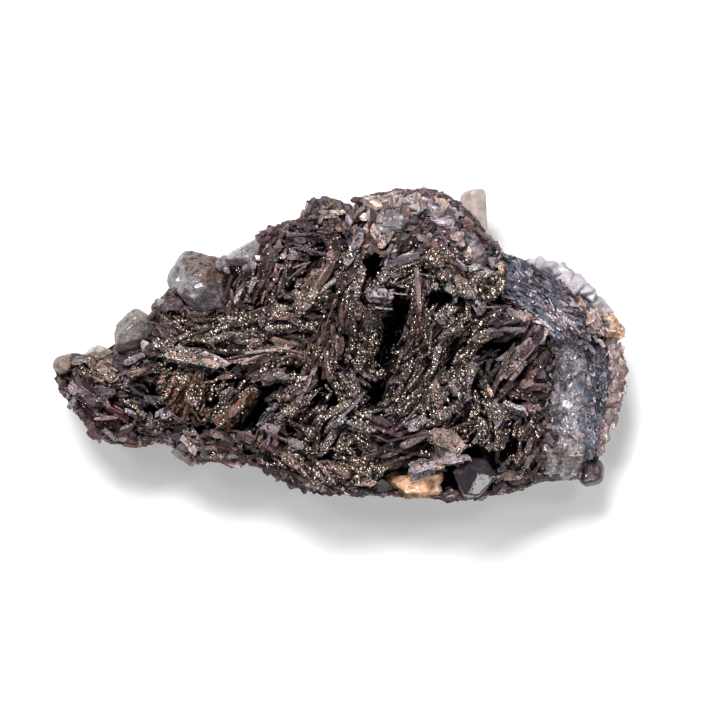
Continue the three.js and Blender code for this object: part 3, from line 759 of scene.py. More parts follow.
def add_node(
    tree: bpy.types.NodeTree, kind: str, inputs: dict[str | int, Any] | None = None, **settings: Any
) -> bpy.types.Node:
    """Adds a shader node, sets its properties and fills or links its sockets.

    Args:
        tree: the material's node tree.
        kind: the node's type without the word ShaderNode.
        inputs: socket name or number, and its value, the socket or the node that feeds it.
        settings: properties of the node.

    Returns:
        The new node.
    """
    node = tree.nodes.new("ShaderNode" + kind)
    for name, value in settings.items():
        setattr(node, name, value)
    for name, value in (inputs or {}).items():
        source = value.outputs[0] if isinstance(value, bpy.types.Node) else value
        if isinstance(source, bpy.types.NodeSocket):
            tree.links.new(source, node.inputs[name])
        else:
            node.inputs[name].default_value = value
    return node


def per_metre(size: float) -> float:
    """A texture scale that repeats about every size millimetres on Object coordinates."""
    return 1 / (size * MM)


def rgba(tone: Tone) -> tuple[float, ...]:
    """A tone as a socket's colour."""
    return (*tone.light, 1.0)


def new_material(name: str) -> tuple[bpy.types.Material, bpy.types.NodeTree]:
    """Makes an empty node material.

    Args:
        name: its name.

    Returns:
        The material and its node tree.
    """
    material = bpy.data.materials.new(name)
    material.use_nodes = True
    material.node_tree.nodes.clear()
    return material, material.node_tree


@dataclass(frozen=True)
class BladeFinish:
    """Blades and fibres, grown and then coated: dull resinous faces with fine streaks along each blade.

    The real coat is dust of hundredths of a millimetre, too fine to show, so it is drawn coarser.
    """

    name: str = "barite_grown_blades"
    speckle_mm: float = 0.35
    grit_mm: float = 0.32
    blend_mm: float = 1.0
    roughness: tuple[float, float] = (0.35, 0.75)
    specular: float = 0.3
    streaks: tuple[float, float] = (0.3, 1.22)
    speck_floor: float = 0.3
    grit: tuple[float, float] = (0.5, 1.6)
    stain_mm: float = 1.7
    stain_floor: float = 0.8
    hue: float = 1.0

    def material(self) -> bpy.types.Material:
        """The blade's own tint, streaked lengthwise, with dark specks, stains and a slight drift of hue.

        Returns:
            The material.
        """
        material, tree = new_material(self.name)
        tint = add_node(tree, "Attribute", attribute_name="tint").outputs["Color"]
        streak = add_node(tree, "Attribute", attribute_name="streak").outputs["Vector"]
        place = add_node(tree, "TexCoord").outputs["Object"]
        line = add_node(tree, "TexNoise", {"Vector": streak, "Scale": 1.0, "Detail": 4.0, "Roughness": 0.7})
        patterns = (self.speckle_mm, 3.0), (self.stain_mm, 5.0), (self.grit_mm, 2.0), (self.blend_mm, 3.0)
        spot, cloud, grit, blend = (
            add_node(tree, "TexNoise", {"Vector": place, "Scale": per_metre(size), "Detail": detail})
            for size, detail in patterns
        )
        # A pattern, its low and high, and what they become
        ranges = (
            (line, 0.3, 0.7, *self.streaks),
            (spot, 0.36, 0.52, self.speck_floor, 1.0),
            (cloud, 0.4, 0.56, self.stain_floor, 1.0),
            (grit, 0.35, 0.65, *self.grit),
            (spot, 0.35, 0.65, *self.roughness[::-1]),
        )
        shade, *others, dull = (add_node(tree, "MapRange", dict(enumerate(row))) for row in ranges)
        for other in others:
            shade = add_node(tree, "Math", {0: shade, 1: other}, operation="MULTIPLY")
        hue = add_node(tree, "VectorMath", {
            0: blend.outputs["Fac"], 1: (self.hue, 0.1 * self.hue, -0.8 * self.hue),
            2: (1 - 0.45 * self.hue, 1 - 0.1 * self.hue, 1 + 0.39 * self.hue),
        }, operation="MULTIPLY_ADD")
        dyed = add_node(tree, "VectorMath", {0: tint, 1: hue}, operation="MULTIPLY")
        color = add_node(tree, "VectorMath", {0: dyed, "Scale": shade}, operation="SCALE")
        bump = add_node(tree, "Bump", {"Strength": 0.5, "Distance": 0.12 * MM, "Height": grit})
        shader = add_node(tree, "BsdfPrincipled", {
            "Base Color": color, "Roughness": dull, "Normal": bump, "IOR": 1.64,
            "Specular IOR Level": self.specular,
        })
        add_node(tree, "OutputMaterial", {"Surface": shader})
        return material


@dataclass(frozen=True)
class PyriteFinish:
    """Pyrite crystals with growth faces: pale brass metal, bright where a face meets the light."""

    name: str = "pyrite_grown_faces"
    roughness: tuple[float, float] = (0.17, 0.5)

    def material(self) -> bpy.types.Material:
        """Metal in the grain's own tint: pale brass is bright, and bronze tarnish is dull.

        Returns:
            The material.
        """
        material, tree = new_material(self.name)
        tint = add_node(tree, "Attribute", attribute_name="tint")
        clean, tarnished = self.roughness
        dull = add_node(tree, "MapRange", {0: tint.outputs["Fac"], 1: 0.2, 2: 0.75, 3: tarnished, 4: clean})
        shader = add_node(tree, "BsdfPrincipled", {
            "Base Color": tint.outputs["Color"], "Metallic": 1.0, "Roughness": dull,
        })
        add_node(tree, "OutputMaterial", {"Surface": shader})
        return material


@dataclass(frozen=True)
class CalciteFinish:
    """Calcite, grown and cleaved: see-through to cloudy, with veils inside and a frosted skin.

    The frost of the real skin is too fine to show, so it is drawn coarser.
    """

    name: str
    transmission: float
    roughness: float
    absorption: Tone
    density_per_mm: float
    facet_tilt: float = 0.35
    veil_mm: float = 2.2
    frost_mm: float = 0.3
    facet_mm: float = 1.1
    veil: tuple[float, float] = (0.62, 1.3)

    def material(self) -> bpy.types.Material:
        """The crystal's tint with pale veils, plain transmission and absorption, and small tilted faces.

        Returns:
            The material.
        """
        material, tree = new_material(self.name)
        tint = add_node(tree, "Attribute", attribute_name="tint").outputs["Color"]
        place = add_node(tree, "TexCoord").outputs["Object"]
        veil, frost = (
            add_node(tree, "TexNoise", {"Vector": place, "Scale": per_metre(size), "Detail": detail})
            for size, detail in ((self.veil_mm, 5.0), (self.frost_mm, 3.0))
        )
        low, high = self.veil
        bright = add_node(tree, "MapRange", {0: veil, 1: 0.3, 2: 0.7, 3: low, 4: high})
        color = add_node(tree, "VectorMath", {0: tint, "Scale": bright}, operation="SCALE")
        dull = add_node(tree, "MapRange", {
            0: frost, 1: 0.35, 2: 0.65, 3: 0.5 * self.roughness, 4: 1.5 * self.roughness,
        })
        bump = add_node(tree, "Bump", {"Strength": 0.12, "Distance": 0.1 * MM, "Height": frost})
        cells = add_node(tree, "TexVoronoi", {"Vector": place, "Scale": per_metre(self.facet_mm)})
        number = cells.outputs["Color"]
        tilt = add_node(tree, "VectorMath", {0: number, 1: (0.5, 0.5, 0.5)}, operation="SUBTRACT")
        lean = add_node(tree, "VectorMath", {0: tilt, "Scale": self.facet_tilt}, operation="SCALE")
        tipped = add_node(tree, "VectorMath", {0: bump, 1: lean})
        normal = add_node(tree, "VectorMath", {0: tipped}, operation="NORMALIZE")
        shader = add_node(tree, "BsdfPrincipled", {
            "Base Color": color, "Roughness": dull, "Normal": normal,
            "IOR": 1.6, "Transmission Weight": self.transmission,
        })
        depth = add_node(tree, "VolumeAbsorption", {
            "Color": rgba(self.absorption), "Density": self.density_per_mm / MM,
        })
        add_node(tree, "OutputMaterial", {"Surface": shader, "Volume": depth})
        return material


@dataclass(frozen=True)
class RockFinish:
    """Matrix rock and chalky rims, freshly broken: a dull granular skin with fine dark and pale grains."""

    name: str
    grain_mm: float = 0.5
    roughness: float = 0.75
    grain: tuple[float, float] = (1.12, 0.7)
    shade: tuple[float, float] = (0.55, 1.3)
    bump_mm: float = 0.15

    def material(self) -> bpy.types.Material:
        """The surface's own tint, broken up by grains of two sizes.

        Returns:
            The material.
        """
        material, tree = new_material(self.name)
        tint = add_node(tree, "Attribute", attribute_name="tint").outputs["Color"]
        place = add_node(tree, "TexCoord").outputs["Object"]
        wide = per_metre(3 * self.grain_mm)
        coarse = add_node(tree, "TexNoise", {"Vector": place, "Scale": wide, "Detail": 6.0})
        cells = add_node(tree, "TexVoronoi", {"Vector": place, "Scale": per_metre(self.grain_mm)})
        low, high = self.shade
        shade = add_node(tree, "MapRange", {0: coarse, 1: 0.3, 2: 0.7, 3: low, 4: high})
        core, rim = self.grain
        grain = add_node(tree, "MapRange", {0: cells.outputs["Distance"], 1: 0.0, 2: 0.7, 3: core, 4: rim})
        both = add_node(tree, "Math", {0: shade, 1: grain}, operation="MULTIPLY")
        color = add_node(tree, "VectorMath", {0: tint, "Scale": both}, operation="SCALE")
        bump = add_node(tree, "Bump", {
            "Strength": 0.5, "Distance": self.bump_mm * MM, "Height": cells.outputs["Distance"],
        }, invert=True)
        shader = add_node(tree, "BsdfPrincipled", {
            "Base Color": color, "Roughness": self.roughness, "Normal": bump,
        })
        add_node(tree, "OutputMaterial", {"Surface": shader})
        return material


def node_box(node: str) -> tuple[Array, Array]:
    """A solid's middle and half sizes in millimetres."""
    low, high = (np.array(corner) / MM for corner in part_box(node))
    return (low + high) / 2, (high - low) / 2


def node_planes(node: str) -> tuple[Array, Array, Array]:
    """The planes that bound a solid.

    Args:
        node: the solid's name.

    Returns:
        Its middle, the outward normals and the distances of its faces, each plane once, in millimetres.
    """
    middle, _ = node_box(node)
    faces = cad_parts[node].data.polygons
    normals, centres = np.empty(3 * len(faces)), np.empty(3 * len(faces))
    faces.foreach_get("normal", normals)
    faces.foreach_get("center", centres)
    normals, centres = normals.reshape(-1, 3), centres.reshape(-1, 3) / MM
    offsets = (normals * (centres - middle)).sum(axis=1)
    _, once = np.unique(np.round(np.c_[normals, offsets], 2), axis=0, return_index=True)
    once = once[offsets[once] > 0.25]
    return middle, normals[once], offsets[once]


def crystal_seat(x: Array, y: Array) -> Array:
    """How far inside a crystal's place a point lies, by an ellipse in the crystal's box.

    Args:
        x: places along.
        y: places across.

    Returns:
        Shares from 0 outside to 1 inside, one for each place.
    """
    inside = np.zeros(np.shape(x))
    for node in CRYSTAL_NODES:
        middle, half = node_box(node)
        share = ((x - middle[0]) / half[0]) ** 2 + ((y - middle[1]) / half[1]) ** 2
        wide = 2.2 if node in OPEN_NODES else 1.0
        inside = np.maximum(inside, 1 - smooth(share, 0.45 * wide, 0.9 * wide))
    return inside


@dataclass
class BariteCrust:
    """The barite crust: dark ground with crevices, sprays of blades, splinters, plates and blocks."""

    # Distance inward from the edge and height of the dome
    dome_profile: Rows = ((0, 13.5), (1.2, 17), (4, 19.6), (9, 21), (16, 21.8), (30, 22.2))
    # Distance inward from the edge and slope of the dome
    slope_profile: Rows = ((0, 1.8), (1.2, 1.0), (4, 0.4), (9, 0.1))
    rim_height: float = 13.5
    under_drop: float = 4.0
    bare_from: float = 27.0
    own_level: float = 5.0
    tail_start: float = -20.0
    tail_slope: float = 0.11
    laths_per_bundle: int = 12
    bundle_gap: float = 2.2
    own_share: float = 0.6
    plate_layers: int = 4
    area: Area = ((-54.0, -26.5), (38.0, 30.0))
    splinters: int = 4300
    crumbs: int = 1300
    side_blocks: int = 1500
    side_seed: int = 91
    station_gap: float = 0.5
    across_points: int = 100
    under_points: int = 10

    def dome(self, x: Array, y: Array) -> Array:
        """Height of the sprays' feet: a dome over the distance inward, sinking to the thin end."""
        height = np.interp(CRUST_EDGE.inward(x, y), *np.transpose(self.dome_profile))
        return height - self.tail_slope * np.maximum(0, self.tail_start - x)

    def crevice(self, x: Array, y: Array) -> Array:
        """Depth of the open crevices: each is a smooth elliptical pit along its heading.

        Args:
            x: places along.
            y: places across.

        Returns:
            Millimetres, one for each place.
        """
        depth = np.zeros(np.shape(x))
        for cx, cy, heading, length, width, deep in CREVICES:
            along, across = turned(x - cx, y - cy, heading)
            share = (2 * along / length) ** 2 + (2 * across / width) ** 2
            depth = np.maximum(depth, deep * (1 - smooth(share, 0.35, 1.35)))
        return depth

    def ground(self, x: Array, y: Array) -> Array:
        """Height of the dark ground: the dome, roughened, less the crevices and the crystals' seats.

        Args:
            x: places along.
            y: places across.

        Returns:
            Millimetres, one for each place.
        """
        relief = 1.2 * rough_noise(flat(x, y), 5.0, 3) + 0.45 * rough_noise(flat(x, y), 1.4, 11)
        fade = smooth(CRUST_EDGE.inward(x, y), 0, 2.5)
        brim = 0.5 * (1 - fade) * rough_noise(flat(x, y), 1.0, 13)
        return self.dome(x, y) + brim + fade * (relief - 1.6 - self.crevice(x, y) - 3 * crystal_seat(x, y))

    def ground_shell(self) -> Shell:
        """The ground as a profile carried along X: over the top in y, and back under at a flat level.

        Returns:
            A closed shell with values tint and streak.
        """
        x = CRUST_EDGE.stations(self.station_gap, 0.2, 0.1)
        low, high = CRUST_EDGE.span(x)
        low, high = (edge + 0.4 * rough_noise(flat(x, edge), 1.3, 5) for edge in (low, high))
        share = np.linspace(1, 0, self.across_points)
        y_top = low + (high - low) * share
        x_top = x + 0 * y_top
        z_top = self.ground(x_top, y_top)
        back = np.linspace(0.06, 0.94, self.under_points)
        y_under = low + (high - low) * back
        top = np.stack([x_top, y_top, z_top], axis=-1)
        z_under = np.full_like(y_under, self.rim_height - self.under_drop)
        under = np.stack([x + 0 * y_under, y_under, z_under], axis=-1)
        rings = np.concatenate([top, under], axis=1)[None]
        ends = CRUST_EDGE.ends(self.rim_height - 1)[None]
        places = np.concatenate([rings.reshape(1, -1, 3), ends], axis=1)
        # Painted shade: the ground is tinted near black, and darker still down the crevices, for the shade
        # in the gaps between the blades
        sunk = smooth(self.crevice(places[..., 0], places[..., 1]), 0.5, 3)
        lit = (smooth(rough_noise(places, 1.1, 21), -0.3, 0.7) * (1 - sunk))[..., None]
        tint = blended(Tone.SHADE_BLACK.light, 0.8 * Tone.DARK.light, lit)
        brim = 1 - smooth(CRUST_EDGE.inward(places[..., 0], places[..., 1]), 0.3, 2.2)[..., None]
        tint = blended(tint, Tone.BROWN.light * (0.5 + lit), brim)
        return Shell.from_rings(rings, ends, faceted=True, tint=tint, streak=places * 0.8)

    def spray_laths(self, rng: Random) -> Laths:
        """The blades of every spray: bundles side by side, the blades of a bundle nearly parallel.

        Args:
            rng: the random source.

        Returns:
            All the blades.
        """
        rows, tones = toned_rows(SPRAYS)
        counts = rows[:, 4].astype(int)
        spray = np.repeat(np.arange(len(rows)), counts)
        order = np.concatenate([np.arange(n) - (n - 1) / 2 for n in counts])
        bundle_roll = rng.uniform(-62, 62, len(rows))[spray] + rng.normal(0, 16, len(spray))
        bundle_roll = np.where(counts[spray] == 1, 62, 0) + bundle_roll
        bundle_pitch = rng.normal(5, 9, len(rows))[spray] + rng.normal(0, 4, len(spray))
        bundle_rise = rng.uniform(-0.8, 2.4, len(spray))
        bundle = np.repeat(np.arange(len(spray)), self.laths_per_bundle)
        row, count = rows[spray[bundle]], len(bundle)
        turn = np.radians(row[:, 2])
        along = rng.uniform(-0.4, 0.4, count) * row[:, 3]
        across = self.bundle_gap * order[bundle] + rng.normal(0, 0.9, count)
        x = row[:, 0] + along * np.cos(turn) - across * np.sin(turn)
        y = row[:, 1] + along * np.sin(turn) + across * np.cos(turn)
        layer = rng.uniform(-2.4, 0.5, count)
        z = self.dome(x, y) + bundle_rise[bundle] + layer
        # A blade low in its bundle is in the shade of those above it
        shade = (0.05 + smooth(layer, -2.4, 0.5)) * np.minimum(rng.lognormal(-0.08, 0.45, count), 1.7)
        shade = shade * self.dimmed(x, y)
        tint = self.varied(tones[spray[bundle]], shade, rng)
        laths = Laths(
            middle=np.stack([x, y, z], axis=-1),
            heading=row[:, 2] + rng.normal(0, 14, count),
            pitch=bundle_pitch[bundle] + rng.normal(0, 12, count),
            roll=bundle_roll[bundle] + rng.normal(0, 26, count),
            length=row[:, 3] * np.clip(rng.lognormal(-0.85, 0.42, count), 0.18, 0.9),
            width=rng.uniform(0.5, 2.3, count),
            thickness=rng.uniform(0.16, 0.4, count),
            tint=np.clip(tint, 0.004, 0.9),
        )
        open_place = (self.crevice(x, y) < 2.5) & (crystal_seat(x, y) < 0.6)
        return laths.keep(open_place & self.fitting(laths, 0.3))

    @staticmethod
    def fitting(laths: Laths, margin: float) -> Array:
        """Which laths have both tips inside the crust's edge by a margin and clear of the crystals."""
        x, y = np.moveaxis(laths.tips()[..., :2], -1, 0)
        return (CRUST_EDGE.inward(x, y).min(axis=0) > margin) & (crystal_seat(x, y).max(axis=0) < 0.9)

    def varied(self, tones: Array, shade: Array, rng: Random) -> Array:
        """Tints of blades: a share keeps its spray's tone, the others differ, and each hue is a little off.

        Args:
            tones: each blade's spray's tone.
            shade: each blade's brightness.
            rng: the random source.

        Returns:
            Linear colours.
        """
        count = len(tones)
        own = rng.uniform(0, 1, (count, 1)) < self.own_share
        tint = np.where(own, tones, self.mixed_tones(count, rng))
        return tint * shade[:, None] * rng.normal(1, 0.03, (count, 3))

    @staticmethod
    def mixed_tones(count: int, rng: Random) -> Array:
        """Colours for blades that differ from the spray that they grow in."""
        return palette(MIXED)[rng.choice(len(MIXED), count, p=list(MIXED.values()))]

    @staticmethod
    def dimmed(x: Array, y: Array) -> Array:
        """Share of a blade's colour that is left: less at the middle and right, more at the upper left."""
        darker = 1 - 0.5 * bell(x, y, (8, 1), (17, 15)) - 0.16 * bell(x, y, (24, -4), (8, 9))
        return darker + 0.2 * bell(x, y, (-9, 20), (8, 7))

    def splinter_laths(self, rng: Random) -> Laths:
        """Small blades over the ground, each turned like the nearest spray and tinted like it.

        Args:
            rng: the random source.

        Returns:
            The splinters.
        """
        rows, tones = toned_rows(SPRAYS)
        x, y = (rng.uniform(*ends, 4 * self.splinters) for ends in zip(*self.area))
        open_ground = (CRUST_EDGE.inward(x, y) > 0.4) & (crystal_seat(x, y) < 0.4)
        x, y = x[open_ground][: self.splinters], y[open_ground][: self.splinters]
        count = len(x)
        away = np.hypot(x[:, None] - rows[:, 0], y[:, None] - rows[:, 1])
        near = np.argmin(away + rng.uniform(0, 2.5, away.shape), axis=1)
        ground = self.ground(x, y)
        z = ground + rng.uniform(0.1, 1.3, count)
        # Painted shade: splinters that sit low in the crevices are darkened
        sunk = smooth(self.dome(x, y) - ground, 1.5, 4.5)
        shade = rng.lognormal(-0.6, 0.6, count) * (1 - 0.96 * sunk) * self.dimmed(x, y)
        tint = self.varied(tones[near], shade, rng)
        laths = Laths(
            middle=np.stack([x, y, z], axis=-1),
            heading=rows[near, 2] + rng.normal(0, 22, count),
            pitch=rng.normal(0, 24, count),
            roll=rng.uniform(-90, 90, count),
            length=rng.lognormal(0.55, 0.45, count),
            width=rng.uniform(0.3, 1.1, count),
            thickness=rng.uniform(0.14, 0.36, count),
            tint=np.clip(tint, 0.003, 0.8),
            stations=4,
        )
        return laths.keep(self.fitting(laths, -0.1))

    def lump_blocks(self, rng: Random) -> Laths:
        """Short thick blocks heaped on the crust where it has few blades, turned every way.

        Args:
            rng: the random source.

        Returns:
            The blocks.
        """
        which = np.repeat(np.arange(len(HEAPS)), [heap.lumps for heap in HEAPS])
        count = len(which)
        middle = np.array([(heap.x, heap.y) for heap in HEAPS])[which]
        spread = np.array([(heap.wide, heap.deep) for heap in HEAPS])[which]
        size, height = np.array([(heap.size, heap.height) for heap in HEAPS])[which].T
        spot = rng.normal(0, 0.5, (count, 2)) * spread + middle
        length = 2.2 * size * rng.lognormal(0, 0.35, count)
        tones = [palette(heap.tones) for heap in HEAPS]
        apart = height > self.own_level
        tint = np.array([tones[i][j % len(tones[i])] for i, j in zip(which, rng.integers(0, 60, count))])
        # Painted shade: a block set lower among the others is darker
        rise = rng.uniform(-0.6, 1.0, count)
        least = np.where(apart, 0.6, 0.12)
        shade = (least + (1 - least) * smooth(rise, -0.5, 0.7))[:, None]
        tint = tint * rng.lognormal(-0.25, 0.35, (count, 1)) * shade
        level = height + np.where(apart, 0, self.dome(*spot.T))
        inward = CRUST_EDGE.inward(*spot.T)
        slope = np.degrees(np.arctan(np.interp(inward, *np.transpose(self.slope_profile))))
        slope = np.where(apart, 0, slope)
        blocks = Laths(
            middle=np.c_[spot, level + rise],
            heading=CRUST_EDGE.heading(*spot.T) + rng.normal(0, 28, count),
            pitch=rng.normal(0, 14, count),
            roll=90 - slope + rng.normal(0, 20, count),
            length=length,
            width=length * rng.uniform(0.4, 0.9, count),
            thickness=length * rng.uniform(0.1, 0.24, count),
            tint=np.clip(tint, 0.004, 0.9),
            stations=4,
        )
        on_rock = apart & (ROCK_EDGE.inward(*spot.T) > 0.8)
        return blocks.keep((inward > np.maximum(0.45, 0.45 * length)) | on_rock)

    def plate_laths(self, rng: Random) -> Laths:
        """The plates that stand out: each lies along its own line, with broken plates under it.

        Args:
            rng: the random source.

        Returns:
            The plates.
        """
        rows, tones = toned_rows(PLATES)
        which = np.repeat(np.arange(len(rows)), self.plate_layers)
        row, count = rows[which], len(which)
        top = np.arange(count) % self.plate_layers == 0
        step = row[:, 2:4] - row[:, :2]
        shift = np.where(top[:, None], 0.05, 0.35) * rng.normal(0, 1, (count, 2)) * row[:, 4:]
        x, y = ((row[:, :2] + row[:, 2:4]) / 2 + shift).T
        # Painted shade: the broken plates under each top plate are darker
        shade = np.where(top, rng.uniform(0.85, 1.15, count), rng.uniform(0.2, 0.7, count))
        z = self.dome(x, y) + np.where(top, 2.3, rng.uniform(0.6, 1.9, count))
        heading = np.degrees(np.arctan2(step[:, 1], step[:, 0]))
        return Laths(
            middle=np.stack([x, y, z], axis=-1),
            heading=heading + np.where(top, 0, rng.normal(0, 10, count)),
            pitch=rng.normal(0, 5, count),
            roll=90 + rng.normal(0, 18, count),
            length=np.hypot(*step.T) * np.where(top, 1.05, rng.uniform(0.5, 1.0, count)),
            width=row[:, 4] * np.where(top, 1.05, rng.uniform(0.5, 1.1, count)),
            thickness=rng.uniform(0.15, 0.32, count),
            tint=np.clip(tones[which] * (shade * (0.4 + 0.6 * self.dimmed(x, y)))[:, None], 0.004, 0.9),
            stations=8,
        )

    def edge_blocks(self, rng: Random) -> Laths:
        """Crumbs that hang along the crust's edge, from its rim down to the rock.

        Args:
            rng: the random source.

        Returns:
            The crumbs.
        """
        x = rng.uniform(CRUST_EDGE.lower[0][0] + 1, CRUST_EDGE.lower[-1][0] - 1, self.crumbs)
        low, high = CRUST_EDGE.span(x)
        drop, step = rng.uniform(0, 1, self.crumbs), rng.uniform(0.15, 1.3, self.crumbs)
        upper = (rng.uniform(0, 1, self.crumbs) < 0.35) & (x < self.bare_from)
        y = np.where(upper, high - step - 1.6 * drop, low + step)
        z = self.rim_height + 2.4 - 6.4 * drop
        tint = self.mixed_tones(self.crumbs, rng) * rng.lognormal(-0.25, 0.45, (self.crumbs, 1))
        length = np.minimum(rng.lognormal(0.2, 0.4, self.crumbs), 2.2)
        return Laths(
            middle=np.stack([x, y + 0.8 * drop, z], axis=-1),
            heading=CRUST_EDGE.heading(x, y) + rng.normal(0, 18, self.crumbs),
            pitch=rng.normal(0, 14, self.crumbs),
            roll=rng.uniform(-90, 90, self.crumbs),
            length=length,
            width=length * rng.uniform(0.4, 0.9, self.crumbs),
            thickness=length * rng.uniform(0.2, 0.5, self.crumbs),
            tint=np.clip(tint, 0.004, 0.8),
            stations=4,
        )

    def side_laths(self, rng: Random) -> Laths:
        """Blocks on the crust's side: at height z the side stands in from the edge as its profile says.

        Args:
            rng: the random source.

        Returns:
            The blocks.
        """
        count = self.side_blocks
        x = rng.uniform(CRUST_EDGE.lower[0][0] + 2, CRUST_EDGE.lower[-1][0] - 1, count)
        low, high = CRUST_EDGE.span(x)
        z = rng.uniform(self.rim_height - 4.2, self.rim_height + 2.6, count)
        levels = [self.rim_height - self.under_drop, self.rim_height, self.rim_height + 3.5]
        share = np.interp(z, levels, [0.06, 0, 0]) * (high - low)
        inset = share + np.interp(z, levels, [0, 0, 1.2]) + rng.uniform(0.1, 0.4, count)
        upper = rng.uniform(0, 1, count) < 0.62
        y = np.where(upper, high - inset, low + inset)
        size = np.minimum(rng.lognormal(0.35, 0.4, count), 2.6)
        laths = Laths(
            middle=np.stack([x, y, z], axis=-1),
            heading=CRUST_EDGE.heading(x, y) + rng.normal(0, 22, count),
            pitch=rng.normal(0, 22, count),
            roll=rng.normal(0, 35, count),
            length=size,
            width=size * rng.uniform(0.45, 0.9, count),
            thickness=size * rng.uniform(0.3, 0.55, count),
            tint=np.clip(self.mixed_tones(count, rng) * rng.lognormal(-0.3, 0.45, (count, 1)), 0.004, 0.8),
            stations=4,
        )
        return laths.keep((crystal_seat(x, y) < 0.3) & ~(upper & (x > self.bare_from)))

    def build(self, rng: Random) -> list[Laths]:
        """Makes the ground, the blades, the splinters, the plates and the blocks.

        Args:
            rng: the random source.

        Returns:
            The blades, splinters and plates, for what grows on them.
        """
        finish = BladeFinish().material()
        nodes = ["barite_blades"]
        # Dull and dark, over the ground's near-black painted shade, so that the gaps between the blades look
        # deep
        earth = BladeFinish("barite_dark_ground", roughness=(0.8, 1.0), specular=0.05).material()
        blades, splinters, blocks = self.spray_laths(rng), self.splinter_laths(rng), self.lump_blocks(rng)
        self.ground_shell().piece("barite_ground", earth, "barite", nodes)
        blades.shell(rng).piece("barite_sprays", finish, "barite", nodes)
        splinters.shell(rng).piece("barite_splinters", finish, "barite", nodes)
        # Less coat and a soft gloss, so that whole plates catch the light
        smoother = BladeFinish(
            "barite_clean_plates", roughness=(0.25, 0.6), specular=0.45, streaks=(0.4, 1.2), speck_floor=0.5,
            grit=(0.7, 1.3), stain_floor=0.5,
        ).material()
        blocks.shell(rng).piece("barite_blocks", smoother, "barite", nodes)
        plates = self.plate_laths(rng)
        plates.shell(rng).piece("barite_plates", smoother, "barite", nodes)
        self.edge_blocks(rng).shell(rng).piece("barite_crumbs", finish, "barite", nodes)
        own = np.random.default_rng(self.side_seed)
        self.side_laths(own).shell(own).piece("barite_side_blocks", finish, "barite", nodes)
        return [blades, splinters, plates]


